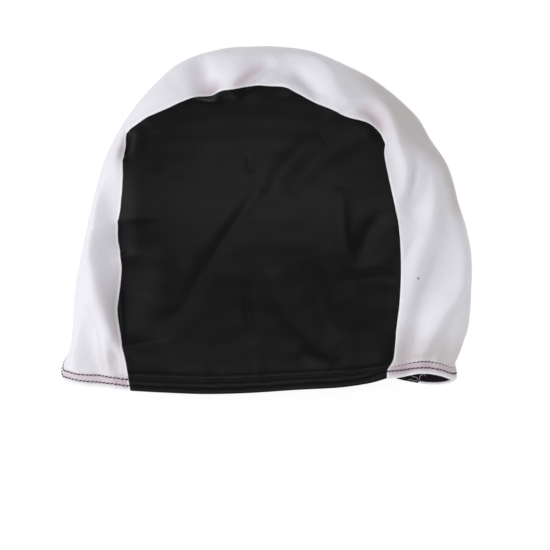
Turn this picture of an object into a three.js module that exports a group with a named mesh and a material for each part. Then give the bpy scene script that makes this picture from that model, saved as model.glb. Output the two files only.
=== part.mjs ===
// Soft three-panel swim cap, puffed up and lying on its far side panel.
// Millimetres. +X runs to the right along the mouth, +Y towards the crown, +Z up off the floor.
import * as THREE from 'three';

// Driving sizes.
const wallThickness = 1.2;
const hemThickness = 2.2;
const hemWidth = 8;
const hemStepWidth = 1.5;
const seamGap = 0.3;

// Form of the puffed cap: the widest line, the swell above it and the roll under it.
const hub = new THREE.Vector2(0, -40);
const widestHeight = 24;
const swell = 37;
const swellRoundness = 3;
const flatShare = 0.72;

// The heights sink towards the mouth, where the cloth is drawn in by its hem.
const mouthY = -96;
const fullHeightY = 14;
const mouthHeightShare = 0.66;

// Latitude on the near side at which the folds start to fade. 1 is the widest line.
const foldFadeStart = 0.8;

// Cells of the cloth grids: up a side seam, along the top seam and across the strip.
const sideCells = 20;
const topCells = 22;
const stripCells = 16;
const curveDivisions = 400;

// Outline seen from above: bearing about the hub in degrees, radius to the widest line.
// The rows from 210 to 324 degrees run on below the mouth, where the hems cut the form off.
const outlineRows = [
  { bearing: -25, radius: 117 },
  { bearing: -21, radius: 113.4 },
  { bearing: -10, radius: 114.7 },
  { bearing: 0, radius: 114.6 },
  { bearing: 10, radius: 116.4 },
  { bearing: 20, radius: 117.2 },
  { bearing: 30, radius: 119.2 },
  { bearing: 40, radius: 123.6 },
  { bearing: 50, radius: 129.3 },
  { bearing: 60, radius: 131.3 },
  { bearing: 70, radius: 133.4 },
  { bearing: 80, radius: 136.2 },
  { bearing: 90, radius: 136.3 },
  { bearing: 100, radius: 137.1 },
  { bearing: 110, radius: 136.2 },
  { bearing: 120, radius: 129.6 },
  { bearing: 130, radius: 123.2 },
  { bearing: 140, radius: 116.4 },
  { bearing: 150, radius: 109.8 },
  { bearing: 160, radius: 106.1 },
  { bearing: 170, radius: 105.2 },
  { bearing: 180, radius: 106.6 },
  { bearing: 190, radius: 109.6 },
  { bearing: 196, radius: 114 },
  { bearing: 202, radius: 123.4 },
  { bearing: 210, radius: 126 },
  { bearing: 225, radius: 128 },
  { bearing: 270, radius: 112 },
  { bearing: 310, radius: 117 },
  { bearing: 324, radius: 119 },
];

// Far seam, under the cap: bearing about the hub and radius.
const farSeamRows = [
  { bearing: -32, radius: 100.5 },
  { bearing: 0, radius: 95 },
  { bearing: 30, radius: 97 },
  { bearing: 50, radius: 103 },
  { bearing: 70, radius: 101 },
  { bearing: 90, radius: 106 },
  { bearing: 110, radius: 103 },
  { bearing: 130, radius: 97 },
  { bearing: 150, radius: 81 },
  { bearing: 180, radius: 78 },
  { bearing: 208, radius: 94 },
];

// Near seams seen from above. Both side seams run up from the hem.
const leftSeam = [
  { x: -75.0, y: -95.5 },
  { x: -76.5, y: -87.6 },
  { x: -78.1, y: -77.6 },
  { x: -80.8, y: -62.7 },
  { x: -83.7, y: -52.7 },
  { x: -84.1, y: -46.0 },
  { x: -83.6, y: -36.0 },
  { x: -83.1, y: -25.0 },
  { x: -85.6, y: -12.8 },
  { x: -87.3, y: -5.0 },
  { x: -86.4, y: 1.5 },
  { x: -82.2, y: 9.0 },
  { x: -79.3, y: 25.0 },
  { x: -79.4, y: 38.0 },
  { x: -77.7, y: 47.6 },
];
const topSeam = [
  { x: -77.7, y: 47.6 },
  { x: -73.8, y: 50.9 },
  { x: -66.7, y: 55.8 },
  { x: -55.4, y: 60.8 },
  { x: -44.2, y: 65.8 },
  { x: -32.0, y: 68.7 },
  { x: -19.3, y: 70.8 },
  { x: -10.0, y: 73.1 },
  { x: 0.6, y: 73.2 },
  { x: 10.0, y: 72.3 },
  { x: 18.0, y: 68.8 },
  { x: 27.2, y: 63.7 },
  { x: 36.0, y: 60.0 },
  { x: 45.4, y: 55.9 },
  { x: 55.4, y: 53.3 },
  { x: 61.8, y: 49.4 },
  { x: 65.8, y: 40.9 },
];
const rightSeam = [
  { x: 66.9, y: -88.6 },
  { x: 67.4, y: -83.5 },
  { x: 70.9, y: -77.3 },
  { x: 71.9, y: -61.0 },
  { x: 73.6, y: -44.7 },
  { x: 74.3, y: -24.0 },
  { x: 73.1, y: -4.3 },
  { x: 70.1, y: 10.3 },
  { x: 67.3, y: 23.9 },
  { x: 65.3, y: 35.2 },
  { x: 65.8, y: 40.9 },
];

// Hems of the two side panels, left to right.
const nearHem = [
  { x: -75.0, y: -95.5 },
  { x: -57.6, y: -96.4 },
  { x: -33.8, y: -97.2 },
  { x: -11.6, y: -96.7 },
  { x: 18.9, y: -94.8 },
  { x: 41.1, y: -93.6 },
  { x: 57.8, y: -91.2 },
  { x: 66.9, y: -88.6 },
];

const farHemMiddle = [
  { x: -14.7, y: -87.0 },
  { x: 40.0, y: -88.5 },
  { x: 66.0, y: -88.2 },
  { x: 78.0, y: -90.6 },
];

// Hem of the strip at its two ends: share of the way across, and degrees turned from the
// bearing of the near seam. Share 0 is the near seam, 0.5 the widest line, 1 the far seam.
const leftHemRows = [
  { across: 0.0, turn: 0 },
  { across: 0.06, turn: -3.8 },
  { across: 0.14, turn: -7.1 },
  { across: 0.3, turn: -11.1 },
  { across: 0.4, turn: -12.6 },
  { across: 0.5, turn: -15.2 },
  { across: 0.6, turn: -16.9 },
  { across: 0.8, turn: -13.5 },
  { across: 1.0, turn: -9.5 },
];
const rightHemRows = [
  { across: 0.0, turn: 0 },
  { across: 0.05, turn: 3.5 },
  { across: 0.12, turn: 7.7 },
  { across: 0.22, turn: 9.8 },
  { across: 0.35, turn: 10.4 },
  { across: 0.5, turn: 11.0 },
  { across: 0.65, turn: 9.6 },
  { across: 0.82, turn: 7.4 },
  { across: 1.0, turn: 4.8 },
];

// Folds of the side that faces up: middle, heading in degrees, half length, half width and
// height of the swell along it. A dent or a valley has a height below zero.
const folds = [
  { x: -93, y: -50, heading: 106, length: 28, width: 6, height: 4 },
  { x: -82, y: -52, heading: 92, length: 18, width: 5, height: -4 },
  { x: -83, y: -18, heading: 90, length: 34, width: 11, height: -9 },
  { x: -88, y: 12, heading: 80, length: 20, width: 8, height: -4 },
  { x: -98, y: -8, heading: 78, length: 30, width: 6, height: 4 },
  { x: -96, y: -76, heading: 96, length: 16, width: 6, height: -6 },
  { x: -76, y: 38, heading: 75, length: 10, width: 3, height: -2.6 },
  { x: -35, y: 84, heading: 92, length: 10, width: 6, height: -4 },
  { x: -32, y: 71, heading: 78, length: 8, width: 5, height: -4 },
  { x: -19, y: 80, heading: 92, length: 14, width: 7, height: 3.4 },
  { x: -64, y: 70, heading: 55, length: 10, width: 8, height: 2 },
  { x: -5, y: 80, heading: 40, length: 12, width: 3, height: -2.4 },
  { x: 17, y: 74, heading: -50, length: 10, width: 4, height: -2.4 },
  { x: 34, y: 80, heading: 102, length: 14, width: 8, height: 6 },
  { x: 68, y: 53, heading: -58, length: 18, width: 4, height: 3 },
  { x: 58, y: 59, heading: -35, length: 10, width: 4, height: -2.8 },
  { x: 78, y: 58, heading: -52, length: 28, width: 7, height: -2.4 },
  { x: 78, y: 20, heading: 90, length: 22, width: 5, height: 3 },
  { x: 84, y: 18, heading: 74, length: 18, width: 4, height: -2.8 },
  { x: 94, y: 18, heading: 90, length: 18, width: 6, height: 4.4 },
  { x: 101, y: 14, heading: 104, length: 20, width: 6, height: -1.2 },
  { x: 106, y: -16, heading: 94, length: 28, width: 5, height: 5.6 },
  { x: 87, y: -33, heading: 68, length: 34, width: 6, height: -2 },
  { x: 80, y: -32, heading: 78, length: 28, width: 6, height: 2.6 },
  { x: 99, y: -46, heading: 66, length: 18, width: 7, height: 1.4 },
  { x: 77, y: -76, heading: 80, length: 14, width: 4, height: -3 },
  { x: 101, y: -74, heading: 90, length: 10, width: 4, height: -2.6 },
  { x: -30, y: -23, heading: 54, length: 45, width: 5, height: -2.2 },
  { x: 14, y: 21, heading: 46, length: 18, width: 6, height: 1.8 },
  { x: 36, y: 32, heading: 38, length: 22, width: 6, height: -1.8 },
  { x: 46, y: -8, heading: 100, length: 22, width: 5, height: 2 },
  { x: 57, y: -10, heading: 50, length: 12, width: 6, height: -2 },
  { x: 31, y: -48, heading: -72, length: 22, width: 7, height: -2.2 },
  { x: 20, y: -56, heading: -55, length: 26, width: 6, height: 1.4 },
];

// Cubic curve through the rows of a table at the given station, flat past its two ends.
function tableValue(rows, stationKey, valueKey, station) {
  const last = rows.length - 1;
  if (station <= rows[0][stationKey]) return rows[0][valueKey];
  if (station >= rows[last][stationKey]) return rows[last][valueKey];
  let i = 0;
  while (rows[i + 1][stationKey] < station) i += 1;
  const slopeAt = (k) => {
    const a = rows[Math.max(k - 1, 0)];
    const b = rows[Math.min(k + 1, last)];
    return (b[valueKey] - a[valueKey]) / (b[stationKey] - a[stationKey]);
  };
  const span = rows[i + 1][stationKey] - rows[i][stationKey];
  const t = (station - rows[i][stationKey]) / span;
  const t2 = t * t;
  const t3 = t2 * t;
  return (2 * t3 - 3 * t2 + 1) * rows[i][valueKey]
    + (t3 - 2 * t2 + t) * span * slopeAt(i)
    + (3 * t2 - 2 * t3) * rows[i + 1][valueKey]
    + (t3 - t2) * span * slopeAt(i + 1);
}

// The outline closes on itself, so two rows repeat past each end of the table.
const fullTurn = 360;
const closedOutline = [
  ...outlineRows.slice(-2).map((row) => ({ ...row, bearing: row.bearing - fullTurn })),
  ...outlineRows,
  ...outlineRows.slice(0, 2).map((row) => ({ ...row, bearing: row.bearing + fullTurn })),
];

function outlineRadius(bearing) {
  const firstBearing = outlineRows[0].bearing;
  const turned = THREE.MathUtils.euclideanModulo(bearing - firstBearing, fullTurn) + firstBearing;
  return tableValue(closedOutline, 'bearing', 'radius', turned);
}

// Bearing of a point about the hub, from -90 degrees to 270.
function bearingOf(point) {
  const lowestBearing = -90;
  const degrees = THREE.MathUtils.radToDeg(Math.atan2(point.y - hub.y, point.x - hub.x));
  return THREE.MathUtils.euclideanModulo(degrees - lowestBearing, fullTurn) + lowestBearing;
}

function reachOf(point) {
  return Math.hypot(point.x - hub.x, point.y - hub.y) / outlineRadius(bearingOf(point));
}

function planPoint(bearing, reach) {
  const angle = THREE.MathUtils.degToRad(bearing);
  const radius = reach * outlineRadius(bearing);
  return new THREE.Vector2(hub.x + radius * Math.cos(angle), hub.y + radius * Math.sin(angle));
}

function heightShare(y) {
  const rise = THREE.MathUtils.smoothstep(y, mouthY, fullHeightY);
  return THREE.MathUtils.lerp(mouthHeightShare, 1, rise);
}

// Near side: a superellipse from the top down to the widest line.
function nearPoint(plan) {
  const reach = Math.min(reachOf(plan), 1);
  const rise = Math.pow(1 - Math.pow(reach, swellRoundness), 1 / swellRoundness);
  return new THREE.Vector3(plan.x, plan.y, (widestHeight + swell * rise) * heightShare(plan.y));
}

// Far side: a quarter ellipse from the widest line down to the floor, then flat on it.
function farPoint(plan) {
  const inset = Math.max(Math.min(reachOf(plan), 1) - flatShare, 0) / (1 - flatShare);
  const drop = Math.sqrt(Math.max(1 - inset * inset, 0));
  return new THREE.Vector3(plan.x, plan.y, widestHeight * (1 - drop) * heightShare(plan.y));
}

// Latitude runs from 0 at the top of the swell to 1 on the widest line and 2 where the cloth
// meets the floor, then on over the floor. These two turn a reach into one and back again.
function nearLatitude(reach) {
  return Math.asin(Math.pow(Math.min(reach, 1), swellRoundness / 2)) / (Math.PI / 2);
}

function farLatitude(reach) {
  if (reach < flatShare) return 2 + (flatShare - reach) / (1 - flatShare);
  return 1 + Math.acos((reach - flatShare) / (1 - flatShare)) / (Math.PI / 2);
}

function formPoint(bearing, latitude) {
  if (latitude <= 1) {
    const reach = Math.pow(Math.sin(latitude * Math.PI / 2), 2 / swellRoundness);
    return nearPoint(planPoint(bearing, reach));
  }
  const turn = Math.min(latitude - 1, 1) * Math.PI / 2;
  const overFloor = Math.max(latitude - 2, 0) * (1 - flatShare);
  return farPoint(planPoint(bearing, flatShare + (1 - flatShare) * Math.cos(turn) - overFloor));
}

// Outward normal of the form, from short steps down and round it.
function formNormal(bearing, latitude) {
  const bearingStep = 0.2;
  const latitudeStep = 0.002;
  const below = formPoint(bearing, latitude + latitudeStep);
  const down = below.sub(formPoint(bearing, Math.max(latitude - latitudeStep, 0)));
  const ahead = formPoint(bearing + bearingStep, latitude);
  const around = ahead.sub(formPoint(bearing - bearingStep, latitude));
  return down.cross(around).normalize();
}

function foldHeight(point) {
  let height = 0;
  for (const fold of folds) {
    const heading = THREE.MathUtils.degToRad(fold.heading);
    const dx = point.x - fold.x;
    const dy = point.y - fold.y;
    const along = (dx * Math.cos(heading) + dy * Math.sin(heading)) / fold.length;
    const across = (dy * Math.cos(heading) - dx * Math.sin(heading)) / fold.width;
    height += fold.height * Math.exp(-along * along - across * across);
  }
  return height;
}

// A place on the cloth: its point, raised or sunk by the folds, and its outward normal.
// The folds die out towards the widest line.
function clothPlace(bearing, latitude) {
  const point = formPoint(bearing, latitude);
  const normal = formNormal(bearing, latitude);
  const upperShare = 1 - THREE.MathUtils.smoothstep(latitude, foldFadeStart, 1);
  point.addScaledVector(normal, upperShare * foldHeight(point));
  return { point, normal };
}

// Points at the given distances along a smooth curve through plan points, ends included.
function pointsAlong(rows, distances) {
  const curve = new THREE.SplineCurve(rows.map((row) => new THREE.Vector2(row.x, row.y)));
  curve.arcLengthDivisions = curveDivisions;
  const length = curve.getLength();
  return distances(length).map((distance) => curve.getPointAt(Math.min(distance / length, 1)));
}

// Grid lines up a side seam: the hem's two edges, the step in thickness, then even cells.
function sideDistances(length) {
  const firstFull = hemWidth + hemStepWidth;
  const evenCells = sideCells - 2;
  const even = Array.from({ length: evenCells }, (_, i) => {
    return firstFull + (length - firstFull) * (i + 1) / evenCells;
  });
  return [0, hemWidth, firstFull, ...even];
}

function evenDistances(length) {
  return Array.from({ length: topCells + 1 }, (_, i) => length * i / topCells);
}

// Plan grid that fills the four sides of a panel. Rows run up from the hem.
function panelPlan(left, right, bottom, top) {
  const rows = left.length - 1;
  const columns = bottom.length - 1;
  return left.map((_, j) => bottom.map((__, i) => {
    const u = i / columns;
    const v = left[j].distanceTo(left[0]) / left[rows].distanceTo(left[0]);
    const sides = left[j].clone().lerp(right[j], u);
    const ends = bottom[i].clone().lerp(top[i], v);
    const low = bottom[0].clone().lerp(bottom[columns], u);
    const high = top[0].clone().lerp(top[columns], u);
    return sides.add(ends).sub(low.lerp(high, v));
  }));
}

// Draws the seamed edges of a grid back by half the gap that two sewn pieces keep.
function drawBackEdge(grid, edgeCells) {
  const drawn = grid.map((row) => row.map(({ point, normal }) => ({ point: point.clone(), normal })));
  for (const [j, i, nj, ni] of edgeCells) {
    const inward = grid[nj][ni].point.clone().sub(grid[j][i].point).normalize();
    drawn[j][i].point.addScaledVector(inward, seamGap / 2);
  }
  return drawn;
}

// Closed cloth wall: the outer grid, the same grid moved inward, and the four edges between.
// Side is 1 where the grid's columns and rows turn left as seen from outside the cap.
function clothGeometry(grid, side, thicknessAt) {
  const rows = grid.length;
  const columns = grid[0].length;
  const outer = grid.flat().map(({ point }) => point);
  const inner = grid.flatMap((row, j) => row.map(({ point, normal }) => {
    return point.clone().addScaledVector(normal, -thicknessAt(j));
  }));
  const outerIndex = (j, i) => j * columns + i;
  const innerIndex = (j, i) => rows * columns + j * columns + i;
  const triangles = [];
  const addQuad = (a, b, c, d) => {
    if (side > 0) triangles.push(a, b, c, a, c, d);
    else triangles.push(a, c, b, a, d, c);
  };
  for (let j = 0; j < rows - 1; j += 1) {
    for (let i = 0; i < columns - 1; i += 1) {
      addQuad(outerIndex(j, i), outerIndex(j, i + 1), outerIndex(j + 1, i + 1), outerIndex(j + 1, i));
      addQuad(innerIndex(j, i), innerIndex(j + 1, i), innerIndex(j + 1, i + 1), innerIndex(j, i + 1));
    }
  }
  const top = rows - 1;
  for (let i = 0; i < columns - 1; i += 1) {
    addQuad(innerIndex(0, i), innerIndex(0, i + 1), outerIndex(0, i + 1), outerIndex(0, i));
    addQuad(outerIndex(top, i), outerIndex(top, i + 1), innerIndex(top, i + 1), innerIndex(top, i));
  }
  const end = columns - 1;
  for (let j = 0; j < rows - 1; j += 1) {
    addQuad(outerIndex(j, 0), outerIndex(j + 1, 0), innerIndex(j + 1, 0), innerIndex(j, 0));
    addQuad(innerIndex(j, end), innerIndex(j + 1, end), outerIndex(j + 1, end), outerIndex(j, end));
  }
  const positions = [...outer, ...inner].flatMap((point) => point.toArray());
  const geometry = new THREE.BufferGeometry();
  geometry.setAttribute('position', new THREE.Float32BufferAttribute(positions, 3));
  geometry.setIndex(triangles);
  geometry.computeVertexNormals();
  return geometry;
}

function clothThickness(linesFromHem) {
  return linesFromHem <= 1 ? hemThickness : wallThickness;
}

const nearLeft = pointsAlong(leftSeam, sideDistances);
const nearTop = pointsAlong(topSeam, evenDistances);
const nearRight = pointsAlong(rightSeam, sideDistances);
const nearBottom = pointsAlong(nearHem, evenDistances);

// Stations round the strip: up the left seam, along the top seam and down the right seam.
const stripStations = [
  ...nearLeft.map((point, k) => ({ point, leftShare: 1 - k / sideCells, rightShare: 0 })),
  ...nearTop.slice(1, -1).map((point) => ({ point, leftShare: 0, rightShare: 0 })),
  ...nearRight.map((point, k) => ({ point, leftShare: 0, rightShare: 1 - k / sideCells })).reverse(),
];

function stripBearing(station, across) {
  const left = station.leftShare * tableValue(leftHemRows, 'across', 'turn', across);
  const right = station.rightShare * tableValue(rightHemRows, 'across', 'turn', across);
  return bearingOf(station.point) + left + right;
}

function stripLatitude(station, across) {
  const start = nearLatitude(reachOf(station.point));
  if (across <= 0.5) return THREE.MathUtils.lerp(start, 1, across * 2);
  const bearing = stripBearing(station, 1);
  const farReach = tableValue(farSeamRows, 'bearing', 'radius', bearing) / outlineRadius(bearing);
  return THREE.MathUtils.lerp(1, farLatitude(farReach), across * 2 - 1);
}

function nearSidePanel() {
  const plan = panelPlan(nearLeft, nearRight, nearBottom, nearTop);
  const grid = plan.map((row) => row.map((point) => {
    return clothPlace(bearingOf(point), nearLatitude(reachOf(point)));
  }));
  return panelGeometry(grid, 1);
}

function farSidePanel() {
  const farPlan = (station) => {
    const point = formPoint(stripBearing(station, 1), stripLatitude(station, 1));
    return new THREE.Vector2(point.x, point.y);
  };
  const left = stripStations.slice(0, sideCells + 1).map(farPlan);
  const top = stripStations.slice(sideCells, sideCells + topCells + 1).map(farPlan);
  const right = stripStations.slice(sideCells + topCells).reverse().map(farPlan);
  const bottom = pointsAlong([left[0], ...farHemMiddle, right[0]], evenDistances);
  const grid = panelPlan(left, right, bottom, top).map((row) => row.map((point) => {
    return clothPlace(bearingOf(point), farLatitude(reachOf(point)));
  }));
  return panelGeometry(grid, -1);
}

function panelGeometry(grid, side) {
  const top = grid.length - 1;
  const end = grid[0].length - 1;
  const edge = [];
  for (let j = 0; j < top; j += 1) {
    edge.push([j, 0, j, 1], [j, end, j, end - 1]);
  }
  for (let i = 1; i < end; i += 1) {
    edge.push([top, i, top - 1, i]);
  }
  edge.push([top, 0, top - 1, 1], [top, end, top - 1, end - 1]);
  return clothGeometry(drawBackEdge(grid, edge), side, clothThickness);
}

function centreStrip() {
  const grid = stripStations.map((station) => Array.from({ length: stripCells + 1 }, (_, i) => {
    const across = i / stripCells;
    return clothPlace(stripBearing(station, across), stripLatitude(station, across));
  }));
  const edge = grid.flatMap((_, j) => [[j, 0, j, 1], [j, stripCells, j, stripCells - 1]]);
  const lastStation = grid.length - 1;
  const thicknessAt = (j) => clothThickness(Math.min(j, lastStation - j));
  return clothGeometry(drawBackEdge(grid, edge), -1, thicknessAt);
}

const blackCloth = new THREE.MeshStandardMaterial({ color: 0x1d1f23, roughness: 0.6, metalness: 0 });
const whiteCloth = new THREE.MeshStandardMaterial({ color: 0xd9d4de, roughness: 0.5, metalness: 0 });

function namedMesh(name, geometry, material) {
  const mesh = new THREE.Mesh(geometry, material);
  mesh.name = name;
  return mesh;
}

const swimCap = new THREE.Group();
swimCap.name = 'swim_cap';
swimCap.add(namedMesh('near_side_panel', nearSidePanel(), blackCloth));
swimCap.add(namedMesh('far_side_panel', farSidePanel(), blackCloth));
swimCap.add(namedMesh('centre_strip', centreStrip(), whiteCloth));

export default swimCap;
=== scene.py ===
"""Soft three-panel swim cap of stretch knit, puffed up and lying on its far side panel.

Shapes are worked out in millimetres and go into the meshes in metres. Seen from above, +X runs
to the right along the mouth and +Y towards the crown. +Z is up off the floor.
"""

import functools
import math

import bpy
import mathutils
import numpy as np
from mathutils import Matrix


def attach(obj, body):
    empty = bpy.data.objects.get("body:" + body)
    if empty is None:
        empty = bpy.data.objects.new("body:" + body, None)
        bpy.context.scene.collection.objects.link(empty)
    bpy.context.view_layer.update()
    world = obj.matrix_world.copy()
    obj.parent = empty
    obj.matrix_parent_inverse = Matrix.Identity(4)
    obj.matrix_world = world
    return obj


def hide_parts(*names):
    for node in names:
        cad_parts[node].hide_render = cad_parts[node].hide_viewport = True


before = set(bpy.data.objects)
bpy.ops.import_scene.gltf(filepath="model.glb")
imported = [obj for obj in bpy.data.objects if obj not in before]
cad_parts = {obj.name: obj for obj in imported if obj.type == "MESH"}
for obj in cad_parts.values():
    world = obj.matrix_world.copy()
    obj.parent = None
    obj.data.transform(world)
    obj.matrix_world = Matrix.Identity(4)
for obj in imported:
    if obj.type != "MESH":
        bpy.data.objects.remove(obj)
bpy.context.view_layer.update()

bl_info = {
    "name": "Swim Cap",
    "version": (1, 0, 0),
    "blender": (4, 5, 0),
    "location": "3D View > Sidebar > Swim Cap",
    "description": "Builds a three-panel swim cap of stretch knit, lying on its side",
    "category": "Object",
}

MM = 0.001


def table(columns, *rows):
    """Rows of numbers as a dictionary of named columns."""
    return dict(zip(columns.split(), np.array(rows, float).T))


# Form of the puffed cap, as in the solids under it: the hub of its bearings in plan, the height
# of its widest line, the swell over that and how round it is, the share of the radius that
# lies flat on the floor, the y of the mouth and of full height, and the mouth's share of it.
HUB = np.array((0.0, -40.0))
WIDEST_HEIGHT = 24.0
SWELL = 37.0
SWELL_ROUNDNESS = 3.0
FLAT_SHARE = 0.72
MOUTH_Y = -96.0
FULL_HEIGHT_Y = 14.0
MOUTH_HEIGHT_SHARE = 0.66

# Outline seen from above: bearing about the hub in degrees and radius to the widest line.
# The rows from 210 to 324 degrees run on below the mouth, where the hems cut the form off.
OUTLINE = table(
    "bearing radius",
    (-25.0, 117.0),
    (-21.0, 113.4),
    (-10.0, 114.7),
    (0.0, 114.6),
    (10.0, 116.4),
    (20.0, 117.0),
    (25.0, 117.8),
    (30.0, 120.5),
    (36.0, 123.4),
    (42.0, 124.2),
    (50.0, 128.7),
    (60.0, 131.3),
    (70.0, 133.4),
    (80.0, 136.2),
    (90.0, 136.3),
    (100.0, 137.1),
    (110.0, 136.2),
    (120.0, 129.6),
    (130.0, 123.2),
    (140.0, 116.4),
    (150.0, 109.8),
    (160.0, 106.1),
    (170.0, 105.2),
    (180.0, 106.6),
    (190.0, 109.6),
    (196.0, 114.0),
    (202.0, 123.4),
    (210.0, 126.0),
    (225.0, 128.0),
    (270.0, 112.0),
    (310.0, 117.0),
    (324.0, 119.0),
)

# Far seam, under the cap: bearing about the hub and radius.
FAR_SEAM = table(
    "bearing radius",
    (-32, 100.5),
    (0, 95),
    (30, 97),
    (50, 103),
    (70, 101),
    (90, 106),
    (110, 103),
    (130, 97),
    (150, 81),
    (180, 78),
    (208, 94),
)

# Near seams in plan. Both side seams run up from the hem.
LEFT_SEAM = table(
    "x y",
    (-75.0, -95.5),
    (-76.5, -87.6),
    (-78.1, -77.6),
    (-82.2, -62.7),
    (-84.4, -52.7),
    (-84.3, -46.0),
    (-83.4, -36.0),
    (-82.9, -25.0),
    (-85.8, -12.8),
    (-85.5, -5.0),
    (-83.4, 1.5),
    (-82.1, 9.0),
    (-79.1, 25.0),
    (-78.8, 38.0),
    (-77.7, 47.6),
)

TOP_SEAM = table(
    "x y",
    (-77.7, 47.6),
    (-73.8, 50.9),
    (-66.7, 55.2),
    (-55.4, 60.2),
    (-44.2, 65.5),
    (-32.0, 69.9),
    (-19.3, 70.8),
    (-10.0, 73.5),
    (0.6, 73.2),
    (10.0, 72.3),
    (18.0, 68.8),
    (27.2, 63.7),
    (36.0, 60.0),
    (45.4, 55.9),
    (55.4, 53.3),
    (61.8, 49.4),
    (65.8, 40.9),
)

RIGHT_SEAM = table(
    "x y",
    (66.9, -88.6),
    (67.4, -83.5),
    (70.9, -77.3),
    (71.9, -61.0),
    (73.6, -44.7),
    (74.3, -24.0),
    (73.1, -4.3),
    (70.1, 10.3),
    (67.3, 23.9),
    (65.3, 35.2),
    (65.8, 40.9),
)

# Hems of the two side panels in plan, left to right. The far one's ends come from the strip.
NEAR_HEM = table(
    "x y",
    (-75.0, -95.5),
    (-57.6, -96.4),
    (-33.8, -97.2),
    (-11.6, -96.7),
    (18.9, -94.8),
    (41.1, -93.6),
    (57.8, -91.2),
    (66.9, -88.6),
)

FAR_HEM_MIDDLE = table("x y", (-14.7, -87.0), (40.0, -88.5), (66.0, -88.2), (78.0, -90.6))

# Hem of the strip at its two ends: share of the way across, and degrees turned from the
# bearing of the near seam. Share 0 is the near seam, 0.5 the widest line, 1 the far seam.
LEFT_HEM = table(
    "across turn",
    (0.0, 0),
    (0.06, -3.8),
    (0.14, -7.1),
    (0.3, -11.1),
    (0.4, -12.6),
    (0.5, -15.2),
    (0.6, -16.9),
    (0.8, -13.5),
    (1.0, -9.5),
)

RIGHT_HEM = table(
    "across turn",
    (0.0, 0),
    (0.05, 3.5),
    (0.12, 7.7),
    (0.22, 9.8),
    (0.35, 10.4),
    (0.5, 11.0),
    (0.65, 9.6),
    (0.82, 7.4),
    (1.0, 4.8),
)


def fold(height, left, right, fold_shade, *path):
    """One fold: the height of its swell, below 0 for a dent, how far it reaches to the left and to
    the right of somebody who walks along its path, how strongly pink shade is painted on the white
    cloth in its hollow, from 0 to 1, and the path in plan."""
    profile = {"height": height, "left": left, "right": right, "fold_shade": fold_shade}
    return {**profile, "path": np.array(path, float)}


# Folds of the side that faces up. Most of their paths run away from the hem or to the right.
STRIP_LEFT_FOLDS = (
    fold(
        4.8, 7.5, 3.8, 0, (-83.5, -78), (-85.5, -70), (-87.5, -59), (-91, -47.5), (-94, -37),
        (-95.5, -26), (-95.5, -15), (-94, -6)
    ),
    fold(
        3.2, 2.5, 5, 0, (-108.5, -86), (-107, -77), (-105.5, -70), (-104.5, -61.5),
        (-103.5, -51.5)
    ),
    fold(
        6.5, 3.4, 6, 0, (-100, -28.5), (-98.5, -16), (-96, -4), (-94, 7.5), (-91.5, 18.5),
        (-88, 30), (-83.5, 41)
    ),
    fold(
        -9, 8.5, 20, 0.05, (-79.5, -70.5), (-81.5, -57), (-83, -45), (-83.5, -34), (-84, -24),
        (-85, -14.5), (-86, -2)
    ),
    fold(
        -0.3, 6, 4, 0.35, (-79, -66), (-82, -57), (-83.5, -47), (-82, -36), (-81.5, -25),
        (-83.5, -14.5), (-84.5, -2)
    ),
    fold(-5.5, 6.5, 9, 0, (-83, -21.5), (-84.5, -7.5), (-86, 5), (-87.5, 16), (-87.5, 27)),
    fold(
        -1.6, 3, 5, 0.4, (-78.5, -76), (-81.5, -66), (-83.5, -56), (-84, -46), (-84, -36),
        (-83.5, -26)
    ),
    fold(1, 3.5, 3, 0, (-87, -87), (-88.5, -79.5), (-90, -71.5), (-92.5, -61.5)),
    fold(
        -4.8, 7, 5.5, 0, (-93.5, -91.5), (-94.5, -81.5), (-96.5, -71.5), (-98, -60.5),
        (-100, -48.5)
    ),
    fold(-2.4, 3.2, 2.4, 0.25, (-81.5, -87), (-83, -80.5), (-85, -73.5), (-87, -68)),
    fold(-3.4, 2.4, 3, 0.6, (-78.5, 32.5), (-78, 38), (-77, 43), (-74.5, 48.5)),
    fold(2, 5, 3, 0, (-82, 18), (-82, 27), (-81, 37), (-78, 47)),
    fold(-0.8, 0.9, 0.9, 0.5, (-81.5, -98), (-82, -91.5), (-82.5, -83.5)),
    fold(-0.8, 0.9, 0.9, 0.5, (-79, -98), (-79, -91.5), (-79.5, -83.5)),
    fold(-0.7, 0.8, 0.8, 0.5, (-76.5, -98), (-77, -92.5), (-77, -86)),
)

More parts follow.
